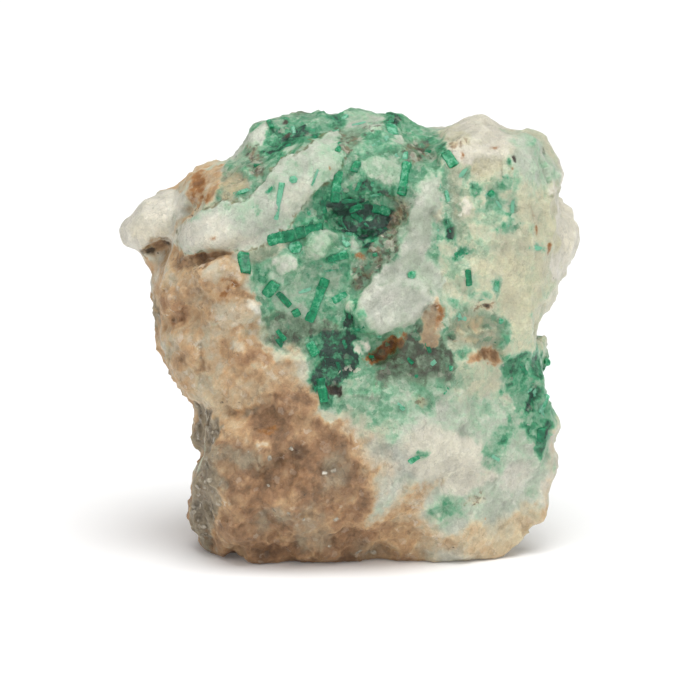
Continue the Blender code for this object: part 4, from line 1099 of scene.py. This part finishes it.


# %% Colour: a layer for each mineral, then flecks and the slab's seam with its painted shadow
def rock_colour(tree, patterns):
    """The colour before light and shade, apart from the painted shadow along the slab's seam, and
    how stained the rock is.
    """
    colour = add_node(tree, "ValToRGB", {0: patterns["milky"]}, MILKY)
    seen = {}
    for channel, pattern, vary, most, stops in LAYERS:
        level = add_node(tree, "Attribute", out="Fac", attribute_name=channel)
        swing = add_node(tree, "Math", {0: patterns[pattern], 1: 2.4 * vary, 2: 1 - 2.28 * vary},
                         operation="MULTIPLY_ADD")
        seen[channel] = add_node(tree, "Math", {0: level, 1: swing}, operation="MULTIPLY",
                                 use_clamp=True)
        tint = add_node(tree, "ValToRGB", {0: seen[channel]}, stops)
        share = add_node(tree, "MapRange", {"Value": seen[channel], "From Min": 0.03,
                                            "From Max": 0.38, "To Max": most},
                         interpolation_type="SMOOTHSTEP")
        colour = add_node(tree, "Mix", {0: share, 6: colour, 7: tint}, out=2, data_type="RGBA")
    for channel, size, seed, hex_colour, strength in FLECK_COLOURS:
        density = add_node(tree, "Attribute", out="Fac", attribute_name=channel)
        shifted = add_node(tree, "VectorMath",
                           {0: patterns["ragged"], 1: (seed, seed * 0.7, seed * 1.3)})
        cells = add_node(tree, "TexVoronoi", {"Vector": shifted, "Scale": 1 / size}, out="Color")
        chance = add_node(tree, "SeparateColor", {0: cells})
        margin = add_node(tree, "Math", {0: density, 1: chance}, operation="SUBTRACT")
        share = add_node(tree, "MapRange", {"Value": margin, "From Max": 0.2, "To Max": strength})
        colour = add_node(tree, "Mix", {0: share, 6: colour, 7: linear(hex_colour)}, out=2,
                          data_type="RGBA")
    # The slab's seam, partly real and partly painted shadow at the foot of its raised edge.
    seam_and_shadow = add_node(tree, "Attribute", out="Fac", attribute_name="slab_seam_and_shadow")
    seam_and_shadow = add_node(tree, "Math", {0: seam_and_shadow, 1: patterns["mottle"]}, operation="MULTIPLY")
    seam_and_shadow = add_node(tree, "MapRange", {"Value": seam_and_shadow, "From Min": 0.3, "From Max": 0.85,
                                       "To Max": 0.75})
    colour = add_node(tree, "Mix", {0: seam_and_shadow, 6: colour, 7: linear(SEAM_AND_SHADOW_COLOUR)}, out=2,
                      data_type="RGBA")
    return colour, seen["stain"]


# %% Light and dark: scoops, painted shade in hollows, dust and chips with painted glints, and hair cracks
def rock_shade(tree, patterns):
    """How much lighter or darker each place is, as one factor: the rock's tone and hair cracks,
    with painted shade in its hollows and painted glints on its dust and chips.
    """
    tone = add_node(tree, "Attribute", out="Fac", attribute_name="tone")
    hollow_shade = add_node(tree, "Attribute", out="Fac", attribute_name="hollow_shade")
    chip_facet_shade = add_node(tree, "SeparateColor", {0: patterns["chips"]}, out=1)
    edges = add_node(tree, "TexVoronoi", {"Vector": patterns["ragged"],
                                          "Scale": 1 / CRACK_SPACING}, feature="DISTANCE_TO_EDGE")
    crack = add_node(tree, "MapRange", {"Value": edges, "From Max": CRACK_WIDTH / CRACK_SPACING,
                                        "To Min": 1.0, "To Max": 0.0})
    open_here = add_node(tree, "MapRange", {"Value": patterns["cloud"], "From Min": 0.46,
                                            "From Max": 0.60, "To Max": -CRACK_DARKNESS})
    shade = add_node(tree, "Math", {0: crack, 1: open_here, 2: 1.0}, operation="MULTIPLY_ADD")
    for source, low, high, at_low, at_high in (
        (tone, 0.2, 0.8, 0.90, 1.08),
        # Painted shade: the hollows are made up to a fifth darker.
        (hollow_shade, 0.0, 1.0, 1.0, 0.80),
        # Painted glints: the fine dust noise makes the colour a little lighter and darker.
        (patterns["dust_and_glints"], 0.3, 0.7, 0.90, 1.09),
        # Painted facet shading: each chip a little lighter or darker, as if its facet caught the
        # light differently.
        (chip_facet_shade, 0.0, 1.0, 0.93, 1.07),
    ):
        factor = add_node(tree, "MapRange", {"Value": source, "From Min": low, "From Max": high,
                                             "To Min": at_low, "To Max": at_high})
        shade = add_node(tree, "Math", {0: shade, 1: factor}, operation="MULTIPLY")
    return shade


# %% Surface: waxy where it is clean quartz, dull and crumbly where it is stained
def rock_surface(tree, patterns, stain):
    """Roughness, and the normal with its leaning chips and fine pits."""
    rough = add_node(tree, "MapRange", {"Value": stain, "From Max": 0.5, "To Min": 0.18,
                                        "To Max": 0.46})
    rough = add_node(tree, "Math", {0: patterns["dust_and_glints"], 1: 0.25, 2: rough},
                     operation="MULTIPLY_ADD")
    lean = add_node(tree, "VectorMath", {0: patterns["chips"], 1: (0.5,) * 3},
                    operation="SUBTRACT")
    plain = add_node(tree, "NewGeometry", out="Normal")
    leaning = add_node(tree, "VectorMath", {0: lean, 1: (CHIP_LEAN,) * 3, 2: plain},
                       operation="MULTIPLY_ADD")
    leaning = add_node(tree, "VectorMath", {0: leaning}, operation="NORMALIZE")
    pits = add_node(tree, "Math", {0: patterns["grain"], 1: 0.5, 2: patterns["dust_and_glints"]},
                    operation="MULTIPLY_ADD")
    crumbly = add_node(tree, "MapRange", {"Value": stain, "From Max": 0.5, "To Min": 0.62,
                                          "To Max": 0.90})
    bump = add_node(tree, "Bump", {"Height": pits, "Strength": crumbly,
                                   "Distance": PIT_DEPTH * MM, "Normal": leaning})
    return rough, bump


# %% The rock material, and the rock
def rock_material():
    """Broken quartz and feldspar with iron stain, mica and beryl in it: glassy but weathered."""
    finish, tree, shader, in_mm = new_finish("broken_quartz_and_stained_rock")
    patterns = rock_patterns(tree, in_mm)
    colour, stain = rock_colour(tree, patterns)
    shaded = add_node(tree, "VectorMath", {0: colour, "Scale": rock_shade(tree, patterns)},
                      operation="SCALE")
    rough, bump = rock_surface(tree, patterns, stain)
    set_inputs(tree, shader, {
        "Base Color": shaded, "Roughness": rough, "Normal": bump, "IOR": QUARTZ_IOR,
        "Subsurface Weight": 0.75, "Subsurface Radius": (1.0, 1.05, 0.9),
        "Subsurface Scale": 1.3 * MM,
    })
    return finish


rock = new_piece("rock_skin", skin, rock_material())
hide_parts("matrix")
print("rock skin dressed:", len(skin.polygons), "faces")

# %% [markdown]
# ## Emerald prisms
# Emerald is green beryl: long six-sided prisms with flat sides, often cracked across, so that
# pale and dark lengths follow each other along a rod. Each prism is built ring by ring from the
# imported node's own axis and width. Its ends are rough breaks, and its sides carry fine growth
# lines that run along it.

# %% One detailed prism
RING_STEP = 0.11
SIDE_STEPS = 4
BROKEN_AT = 0.36
CRACK_EVERY = 1.1
CRACK_REACH = 0.07
ROUNDED_REACH = 0.10
BREAK_REACH = 0.22
CRACKS_FROM, CRACKS_TO = 0.06, 0.94
PALE_SWING = 0.22
END_TILT = 0.22
# Shares of the width or the radius: how far lengths slip at a crack, how far a side stands out,
# how far its worn corners reach, and how deep cracks, ends, growth lines and breaks cut in.
SLIP = 0.012
SIDE_LIFT = 0.035
CORNER_OUT = 1.115
CRACK_CUT = 0.04
ROUNDED_CUT = 0.10
GROWTH_LINE = 0.014
RAGGED_END = 0.10
WAVY_SIDE = 0.09
CHIPPED_TOP = 0.05


def prism(centre, axis, side, width, length, seed, outward=None, paleness=0.0, ring_step=0.2):
    """Rings of a broken six-sided prism, with how cracked and how pale each point is.

    A rod that lies in the face is broken off on its outward side at BROKEN_AT of its width.
    """
    random = np.random.default_rng(seed)
    other = np.cross(axis, side)
    around = 6 * SIDE_STEPS
    rings = max(4, int(length / ring_step))
    cracks = np.sort(random.uniform(CRACKS_FROM, CRACKS_TO, max(1, int(length / CRACK_EVERY))))
    segment_pale = random.uniform(0.0, PALE_SWING, len(cracks) + 1) + paleness
    shifts = random.normal(0, SLIP, (len(cracks) + 1, 2)) * width
    side_lift = random.uniform(-SIDE_LIFT, SIDE_LIFT, 6)
    cut = random.normal(0, END_TILT, (2, 2))
    profile = [(0.0, 0.0), (0.0, 0.45), (0.0, 0.86)]
    profile += [(share, 1.0) for share in np.linspace(0.0, 1.0, rings)]
    profile += [(1.0, 0.86), (1.0, 0.45), (1.0, 0.0)]
    corners, crack_values, pale_values = [], [], []
    for share, size in profile:
        segment = int(np.searchsorted(cracks, share))
        crack = math.exp(-(float(np.abs(cracks - share).min()) * length / CRACK_REACH) ** 2)
        end_gap = min(share, 1 - share) * length
        inward = 1 if share < 0.5 else -1
        for k in range(around):
            angle = math.tau * k / around
            flat_side = int((angle + math.pi / 6) / (math.pi / 3)) % 6
            within = (angle + math.pi / 6) % (math.pi / 3) - math.pi / 6
            radius = min(1 / math.cos(within), CORNER_OUT) + side_lift[flat_side]
            rounded = math.exp(-(end_gap / ROUNDED_REACH) ** 2)
            radius *= size * (1 - CRACK_CUT * crack) * (1 - ROUNDED_CUT * rounded)
            radius = (radius + GROWTH_LINE * size * math.sin(k * 2.4 + seed)) * width / 2
            lean = cut[min(1, int(share + 0.5))]
            tilt = (lean[0] * math.cos(angle) + lean[1] * math.sin(angle)) * radius * 0.7
            ragged = noise.noise((angle * 1.3, share * 9 + size * 2, seed * 1.7))
            ragged = ragged * RAGGED_END * width
            slide = inward * abs(tilt + ragged) * math.exp(-(end_gap / BREAK_REACH) ** 2)
            away = side * math.cos(angle) + other * math.sin(angle)
            shift = (side * shifts[segment][0] + other * shifts[segment][1]) * size
            wavy = noise.noise((share * length * 1.4, angle * 0.8, seed * 0.9))
            from_axis = away * radius * (1 + WAVY_SIDE * wavy) + shift
            if outward is not None:
                chipped = noise.noise((share * length * 2.2, angle * 1.5, seed * 2.3))
                chipped = chipped * CHIPPED_TOP
                too_far = from_axis @ outward - (BROKEN_AT + chipped) * width
                from_axis = from_axis - outward * max(0.0, too_far)
            corners.append(centre + axis * (length * (share - 0.5) + slide) + from_axis)
            crack_values.append(crack)
            pale_values.append(segment_pale[segment])
    faces = []
    for ring in range(len(profile) - 1):
        for k in range(around):
            after = (k + 1) % around
            faces.append((ring * around + k, ring * around + after,
                          (ring + 1) * around + after, (ring + 1) * around + k))
    return corners, faces, crack_values, pale_values


# %% One mesh from several prisms
SHARP_FROM = math.radians(24)
MERGE_DISTANCE = 0.0004


def prisms_mesh(name, prisms):
    """One mesh from several prisms, its collapsed end rings merged."""
    corners, faces, crack_values, pale_values = [], [], [], []
    for own_corners, own_faces, own_cracks, own_pale in prisms:
        first = len(corners)
        corners += own_corners
        faces += [tuple(first + corner for corner in face) for face in own_faces]
        crack_values += own_cracks
        pale_values += own_pale
    mesh = mesh_from(name, corners, faces)
    store(mesh, "crack", crack_values)
    store(mesh, "pale", pale_values)
    net = bmesh.new()
    net.from_mesh(mesh)
    bmesh.ops.remove_doubles(net, verts=net.verts, dist=MERGE_DISTANCE * MM)
    bmesh.ops.recalc_face_normals(net, faces=net.faces)
    net.to_mesh(mesh)
    net.free()
    mesh.shade_smooth()
    mesh.set_sharp_from_angle(angle=SHARP_FROM)
    return mesh


# %% Emerald material
# Clouds of tiny bubbles in beryl are about half a millimetre wide. Its veils and single flaws are
# finer than 0.17 mm, and are drawn that coarse so that they show.
BERYL_CLOUD_SIZE = 0.59
BERYL_FLAW_SIZE = 0.17
BERYL_IOR = 1.58
BERYL_PIT_DEPTH = 0.12
PALE_BERYL = "#7cc3a0"
BERYL_COLOURS = [(0.48, "#086b47"), (0.76, "#1a9765"), (1.0, PALE_BERYL)]


def emerald_material():
    """Beryl with its flaws: glassy, green by depth, paler and cloudy along its cracks."""
    finish, tree, shader, in_mm = new_finish("emerald_beryl")
    cloud = add_node(tree, "TexNoise", {"Vector": in_mm, "Scale": 1 / BERYL_CLOUD_SIZE,
                                        "Detail": 6.0, "Roughness": 0.7})
    flaws = add_node(tree, "TexNoise", {"Vector": in_mm, "Scale": 1 / BERYL_FLAW_SIZE,
                                        "Detail": 3.0})
    pale = add_node(tree, "Attribute", out="Fac", attribute_name="pale")
    crack = add_node(tree, "Attribute", out="Fac", attribute_name="crack")
    level = add_node(tree, "Math", {0: cloud, 1: 1.5, 2: pale}, operation="MULTIPLY_ADD")
    level = add_node(tree, "Math", {0: flaws, 1: 0.34, 2: level}, operation="MULTIPLY_ADD")
    level = add_node(tree, "Math", {0: level, 1: 0.36}, operation="SUBTRACT")
    colour = add_node(tree, "ValToRGB", {0: level}, BERYL_COLOURS)
    cloudy = add_node(tree, "Math", {0: crack, 1: flaws}, operation="MULTIPLY")
    cloudy = add_node(tree, "MapRange", {"Value": cloudy, "From Min": 0.2, "From Max": 0.6,
                                         "To Max": 0.35})
    colour = add_node(tree, "Mix", {0: cloudy, 6: colour, 7: linear(PALE_BERYL)}, out=2,
                      data_type="RGBA")
    rough = add_node(tree, "MapRange", {"Value": flaws, "From Min": 0.3, "From Max": 0.7,
                                        "To Min": 0.26, "To Max": 0.50})
    pits = add_node(tree, "Math", {0: crack, 1: -0.6, 2: flaws}, operation="MULTIPLY_ADD")
    bump = add_node(tree, "Bump", {"Height": pits, "Strength": 0.45,
                                   "Distance": BERYL_PIT_DEPTH * MM})
    set_inputs(tree, shader, {
        "Base Color": colour, "Roughness": rough, "Normal": bump, "IOR": BERYL_IOR,
        "Specular IOR Level": 0.32, "Transmission Weight": 0.14, "Subsurface Weight": 0.55,
        "Subsurface Radius": (0.5, 1.0, 0.8), "Subsurface Scale": 0.9 * MM,
    })
    return finish


emerald = emerald_material()
print("crystals of", emerald.name)

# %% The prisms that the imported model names
FLUSH_SHARE = 0.12
PALER = {"emerald_bright_prism": 0.08, "emerald_pale_end": 0.25, "emerald_slab_rod": 0.30,
         "emerald_slab_end": 0.15, "emerald_lower_rod": 0.12, "emerald_round_end": 0.20,
         "emerald_crest_block": 0.15, "emerald_fan_rod": 0.10, "emerald_long_rod": -0.04}
for place, crystal in enumerate(crystals):
    deeper = 0.0 if crystal.goes_in else FLUSH_SHARE * crystal.width
    centre = crystal.centre + crystal.facing * (crystal.lift - deeper)
    outward = None if crystal.goes_in else unit(crystal.facing)
    shape = prism(centre, crystal.axis, crystal.side, crystal.width, crystal.length, 100 + place,
                  outward, PALER.get(crystal.name, 0.0), RING_STEP)
    name = crystal.name + "_crystal"
    piece = new_piece(name, prisms_mesh(name, [shape]), emerald)
    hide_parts(crystal.name)
print(len(crystals), "emerald prisms")

# %% [markdown]
# ## Small crystals in the rock's face
# Between the large prisms the quartz is full of smaller ones, most of them flush with the broken
# face, so that they show as short green bars and hexagons. The ones that the picture shows are
# listed by their two ends and their width, all in picture pixels; more are strewn where the rock
# is green, also on the sides and the back.

# %% Small crystals seen in the picture: one end, the other end, width
SMALL_CRYSTALS = {
    "slab_hexagon": ((293, 179), (293.3, 178), 8.0),
    "slab_short_bar": ((272, 187), (267, 193), 4.0),
    "slab_low_bar": ((258, 203), (258, 214), 6.0),
    "slab_wedge": ((234, 194), (250, 189), 5.0),
    "slab_faint_bar": ((318, 170), (312, 185), 2.6),
    "field_bar": ((299, 292), (311, 289), 4.2),
    "fan_first": ((320, 265), (345, 256), 4.2),
    "fan_second": ((334, 262), (353, 255), 4.0),
    "fan_third": ((325, 271), (341, 268), 3.4),
    "band_block": ((304, 132), (320, 130), 8.0),
    "band_low_bar": ((266, 158), (280, 148), 6.0),
    "band_low_block": ((283, 148), (291, 142), 6.5),
    "band_top_bar": ((276, 130), (288, 127), 4.5),
    "band_right_bar": ((330, 118), (339, 121), 5.0),
    "grain_crystal": ((356, 311), (365, 318), 7.5),
    "grain_low_crystal": ((353, 330), (363, 326), 5.5),
    "hollow_top_first": ((342, 202), (356, 201), 4.2),
    "hollow_top_second": ((357, 203), (369, 202), 3.6),
    "hollow_dark_bar": ((352, 213), (362, 222), 6.0),
    "hollow_dark_block": ((366, 222), (374, 228), 7.0),
    "hollow_left_bar": ((340, 221), (346, 230), 5.0),
    "mid_hexagon": ((310, 213), (310.4, 212), 6.5),
    "mid_left_bar": ((322, 207), (329, 198), 4.2),
    "mid_first": ((356, 191), (361, 180), 4.6),
    "mid_second": ((363, 195), (366, 183), 4.2),
    "mid_third": ((371, 197), (381, 194), 4.0),
    "small_hexagon": ((397, 155), (397.3, 154), 4.6),
    "right_first": ((466, 168), (460, 178), 5.0),
    "right_second": ((474, 183), (474, 192), 7.5),
    "right_third": ((505, 177), (505, 190), 7.5),
    "right_fourth": ((497, 200), (503, 209), 6.5),
    "right_fifth": ((508, 224), (500, 230), 7.5),
    "right_sixth": ((456, 256), (469, 251), 7.5),
    "right_seventh": ((498, 280), (496, 292), 7.0),
    "right_eighth": ((450, 300), (457, 307), 8.0),
    "right_ninth": ((503, 326), (497, 343), 8.0),
    "right_tenth": ((530, 247), (542, 249), 5.0),
    "right_eleventh": ((458, 314), (467, 320), 6.0),
    "right_twelfth": ((486, 196), (491, 191), 4.0),
    "right_thirteenth": ((513, 201), (512, 213), 4.2),
    "right_fourteenth": ((480, 300), (487, 297), 4.0),
    "side_first": ((449, 218), (452, 232), 6.5),
    "side_second": ((437, 225), (436, 240), 6.5),
    "side_third": ((430, 254), (437, 247), 5.0),
    "side_fourth": ((446, 190), (449, 201), 4.6),
    "side_fifth": ((437, 176), (440, 187), 4.0),
    "upright_fan": ((403, 165), (406, 151), 5.5),
    "crest_bar": ((383, 129), (388, 140), 5.5),
    "crest_side_bar": ((425, 143), (431, 139), 5.5),
    "root_first": ((320, 350), (324, 366), 6.0),
    "root_second": ((331, 345), (328, 357), 5.0),
    "root_third": ((343, 340), (347, 350), 5.0),
    "root_fourth": ((312, 375), (317, 392), 5.0),
    "root_fifth": ((337, 362), (341, 372), 4.2),
    "left_tip": ((276, 337), (283, 347), 6.0),
    "left_small_bar": ((239, 253), (241, 262), 4.0),
    "flank_first": ((532, 380), (535, 397), 6.0),
    "flank_second": ((541, 405), (544, 419), 5.0),
    "flank_third": ((520, 365), (527, 374), 5.0),
    "top_first": ((352, 125), (365, 122), 4.0),
    "top_second": ((372, 146), (380, 141), 4.2),
}
print(len(SMALL_CRYSTALS), "small crystals to place")


# %% Place them on the skin
SHOWS = 0.07
HEXAGON_LENGTH = 1.2
HEXAGON_NEARER_THAN = 0.3
skin_tree = BVHTree.FromPolygons(moved.tolist(), [tuple(face.vertices) for face in skin.polygons])
eye = MIDDLE - AWAY * SIGHT_LENGTH


def seen_at(x, y):
    """The skin's point, normal and paleness that the picture position shows."""
    u, v = on_face(x, y)
    ray = Vector(MIDDLE + RIGHT * u + UP * v - eye)
    point, normal, face, _ = skin_tree.ray_cast(Vector(eye), ray.normalized())
    return np.array(point), np.array(normal), paleness[skin.polygons[face].vertices[0]]


ground = ripples(points, size=3.0, seed=12, octaves=2)
paleness = 0.52 * soft_step(-levels["green"] + 0.15 * ground, -0.80, -0.25) - 0.12
small = []
for place, (start, end, width) in enumerate(SMALL_CRYSTALS.values()):
    here, normal, pale = seen_at(*start)
    there, other_normal, _ = seen_at(*end)
    width *= MM_PER_PIXEL
    if np.linalg.norm(there - here) < HEXAGON_NEARER_THAN:
        axis = unit(unit(normal) * 0.9 + np.array((0.15, -0.1, 0.1)))
        side = unit(np.cross(axis, RIGHT + 0.3 * UP))
        centre = here - axis * (HEXAGON_LENGTH / 2 - SHOWS * 0.4)
        small.append(prism(centre, axis, side, width, HEXAGON_LENGTH, 300 + place, None, pale))
        continue
    axis = unit(there - here)
    normal = unit(normal + other_normal)
    side = unit(normal - axis * (normal @ axis))
    centre = (here + there) / 2 - side * (width / 2 - SHOWS)
    length = float(np.linalg.norm(there - here)) + 0.15
    small.append(prism(centre, axis, side, width, length, 300 + place, side, pale))
print(len(small), "small crystals seen in the picture")


# %% Strew more of them where the rock is green
STREWN = 110
KEEP_CLEAR = 0.6
LOWEST = 1.0
FRONT_SHARE = 0.02
skin_normals = np.empty(len(skin.vertices) * 3)
skin.vertices.foreach_get("normal", skin_normals)
skin_normals = skin_normals.reshape(-1, 3)
near_big = np.zeros(len(moved), bool)
for crystal in crystals:
    near_big |= np.linalg.norm(moved - crystal.centre, axis=1) < crystal.length / 2 + KEEP_CLEAR


def strewn_places(level, count, seed, spacing):
    """Random points of the skin where the level is high, no two nearer than the spacing.

    Few lie on the front, where the picture's own crystals are, and none at the outline.
    """
    random = np.random.default_rng(seed)
    level = np.where((moved[:, 2] > LOWEST) & ~near_big, np.clip(level, 0, None), 0)
    front_share = np.where(facing > 0.3, FRONT_SHARE, 1.0) * (np.abs(facing - 0.1) > 0.25)
    chance = level * front_share
    order = random.choice(len(moved), min(len(moved), count * 12), False, chance / chance.sum())
    chosen = []
    for place in order:
        if all(np.linalg.norm(moved[place] - moved[other]) > spacing for other in chosen):
            chosen.append(place)
        if len(chosen) == count:
            break
    return chosen, random


green_level = np.where(levels["green"] < 0.85, np.clip(levels["green"] - 0.3, 0, 0.3), 0.05)
chosen, random = strewn_places(green_level, STREWN, 77, 1.1)
for place in chosen:
    normal = unit(skin_normals[place])
    flat = unit(np.cross(normal, random.normal(size=3)))
    axis = unit(flat + normal * random.normal(0, 0.15))
    side = unit(normal - axis * (normal @ axis))
    width = random.uniform(0.35, 0.75)
    length = width * random.uniform(1.2, 3.2)
    centre = moved[place] - side * (width / 2 - random.uniform(0.08, 0.16))
    shape = prism(centre, axis, side, width, length, 500 + int(place), side, paleness[place])
    small.append(shape)
new_piece("small_crystals", prisms_mesh("small_crystals", small), emerald)
print(len(small), "small crystals in all")

# %% [markdown]
# ## Grains and flakes
# A broken surface also carries loose-looking crumbs: clear quartz splinters that glint in the
# green zone, paler crumbs on the stained rock, brown-black grains in the seams, and thin silvery
# flakes of mica on the lower left. A crumb is the hull of a few random points, which gives sharp
# flat facets like a real splinter.

# %% Crumbs as hulls of random points
CRUMB_CORNERS = 12


def crumb_mesh(name, places, random, size_range, flatness, sunk):
    """Angular crumbs set into the skin, each the hull of twelve points of a squashed ball."""
    net = bmesh.new()
    for place in places:
        normal = unit(skin_normals[place])
        across = unit(np.cross(normal, random.normal(size=3)))
        along = np.cross(normal, across)
        size = random.uniform(*size_range)
        shape = random.uniform(0.6, 1.0, 3) * size / 2 * np.array((1.0, 1.0, flatness))
        centre = moved[place] - normal * shape[2] * sunk
        corners = []
        for _ in range(CRUMB_CORNERS):
            x, y, z = unit(random.normal(size=3)) * shape
            corners.append(net.verts.new((centre + across * x + along * y + normal * z) * MM))
        hull = bmesh.ops.convex_hull(net, input=corners)
        inner = {v for v in hull["geom_interior"] if isinstance(v, bmesh.types.BMVert)}
        bmesh.ops.delete(net, geom=list(inner), context="VERTS")
    bmesh.ops.recalc_face_normals(net, faces=net.faces)
    mesh = bpy.data.meshes.new(name)
    net.to_mesh(mesh)
    net.free()
    return mesh


# %% Materials of the crumbs
# The clouds in a splinter are about as wide as the splinter itself. Clear quartz lets light through
# and glints, feldspar is dull and opaque like unglazed china, and mica flakes shine like foil.
SPLINTER_CLOUD_SIZE = 0.42


def grain_material(name, colour, dark_colour, roughness, through, index):
    """A splinter of one mineral: even colour with faint clouds in it, and flat broken faces."""
    finish, tree, shader, in_mm = new_finish(name)
    cloud = add_node(tree, "TexNoise", {"Vector": in_mm, "Scale": 1 / SPLINTER_CLOUD_SIZE,
                                        "Detail": 4.0})
    shade = add_node(tree, "ValToRGB", {0: cloud}, [(0.35, dark_colour), (0.65, colour)])
    set_inputs(tree, shader, {"Base Color": shade, "Roughness": roughness,
                              "Transmission Weight": through, "IOR": index})
    return finish


FELDSPAR_IOR = 1.53
MICA_IOR = 1.60
clear_quartz = grain_material("clear_quartz_splinter", "#dfe3d8", "#b9c4b4",
                              roughness=0.16, through=0.35, index=QUARTZ_IOR)
pale_crumb = grain_material("pale_feldspar_crumb", "#d3c3a8", "#bb9f7c",
                            roughness=0.45, through=0.0, index=FELDSPAR_IOR)
dark_mica = grain_material("brown_black_mica_grain", "#5a4a36", "#2f261b",
                           roughness=0.35, through=0.0, index=MICA_IOR)
silver_mica = grain_material("silvery_mica_flake", "#b3a996", "#7d7464",
                             roughness=0.24, through=0.0, index=MICA_IOR)
print("four kinds of crumb")

# %% Crumbs: material, where, how many, seed, spacing, sizes in mm, flatness, how far sunk
clean_green = levels["green"] * (levels["green"] < 0.85)
pale_stained = levels["stain"] * (levels["stain"] < 0.45) * (1 - levels["mica"])
dark_places = levels["dark_flecks"] + levels["dark"] + 0.03 * levels["stain"]
GRAINS = {
    "quartz_splinters": (clear_quartz, clean_green, 200, 81, 0.6, (0.16, 0.44), 0.6, 0.45),
    "pale_crumbs": (pale_crumb, pale_stained, 110, 82, 1.0, (0.35, 0.90), 0.50, 0.60),
    "dark_grains": (dark_mica, dark_places, 150, 83, 0.45, (0.20, 0.45), 0.7, 0.5),
    "mica_flakes": (silver_mica, levels["mica"] ** 2, 220, 84, 0.45, (0.40, 1.00), 0.16, 0.0),
}
for name, (finish, level, count, seed, spacing, *form) in GRAINS.items():
    chosen, random = strewn_places(level, count, seed, spacing)
    new_piece(name, crumb_mesh(name, chosen, random, *form), finish)
    print(name, len(chosen))

# %% [markdown]
# ## Camera, light and floor
# A long lens half a metre away gives the picture's flat perspective. The light is that of a
# product table: one very large soft source overhead, which leaves the lower part of the stone in
# shade, a weak fill from the front, and the white table itself, which throws light back up.

# %% Camera
camera_data = bpy.data.cameras.new("photo_camera")
camera_data.sensor_width = 36.0
camera_data.lens = camera_data.sensor_width * SIGHT_LENGTH / PICTURE_WIDTH_MM
camera_data.clip_start = 0.01
camera = bpy.data.objects.new("photo_camera", camera_data)
bpy.context.scene.collection.objects.link(camera)
camera.location = (MIDDLE - AWAY * SIGHT_LENGTH) * MM
camera.rotation_euler = (math.pi / 2 - SIGHT_TILT, 0.0, 0.0)
bpy.context.scene.camera = camera
print("lens:", round(camera_data.lens, 1), "mm")


# %% Lights
STONE_MIDDLE = Vector((0, 0, 0.02))


def soft_box(name, location, width, power):
    """A square area light that looks at the middle of the stone."""
    light = bpy.data.lights.new(name, "AREA")
    light.shape = "SQUARE"
    light.size = width
    light.energy = power
    lamp = bpy.data.objects.new(name, light)
    bpy.context.scene.collection.objects.link(lamp)
    lamp.location = location
    toward = STONE_MIDDLE - Vector(location)
    lamp.rotation_euler = toward.to_track_quat("-Z", "Y").to_euler()


soft_box("soft_box_left", (-0.45, -0.45, 0.30), width=0.12, power=0.45)
soft_box("soft_box_right", (0.40, -0.50, 0.24), width=0.35, power=0.75)
overhead = bpy.data.objects.new("overhead", bpy.data.lights.new("overhead", "SUN"))
overhead.data.energy = 2.65
overhead.data.angle = math.radians(50)
overhead.rotation_euler = Vector((0.10, -0.22, 1.0)).to_track_quat("Z", "Y").to_euler()
bpy.context.scene.collection.objects.link(overhead)
print("three lights")

# %% World and floor
WHITE = linear("#ffffff")
FLOOR_REACH = 1500
FLOOR_DROP = -0.02
world = bpy.data.worlds.new("pale_room")
bpy.context.scene.world = world
world.use_nodes = True
set_inputs(world.node_tree, world.node_tree.nodes["Background"], {"Color": WHITE, "Strength": 0.34})

# White card is matt, and gives back about 92 % of the light that falls on it.
card = bpy.data.materials.new("matt_white_card")
card.use_nodes = True
set_inputs(card.node_tree, card.node_tree.nodes["Principled BSDF"], {
    "Base Color": (0.92, 0.92, 0.92, 1.0), "Roughness": 0.9,
    "Emission Color": WHITE, "Emission Strength": 0.05,
})
corners = [(x * FLOOR_REACH, y * FLOOR_REACH, FLOOR_DROP)
           for x, y in ((-1, -1), (1, -1), (1, 1), (-1, 1))]
floor_mesh = mesh_from("floor", corners, [(0, 1, 2, 3)])
floor_mesh.materials.append(card)
floor = bpy.data.objects.new("floor", floor_mesh)
bpy.context.scene.collection.objects.link(floor)
floor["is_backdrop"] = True
bpy.context.scene.view_settings.view_transform = "Standard"
print("floor and world are in place")

# %% The sizes of both boxes, and finish
sizes = {"cad": [list(corner) for corner in cad_box],
         "visual": [list(corner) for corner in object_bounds()]}
print("boxes:", sizes)
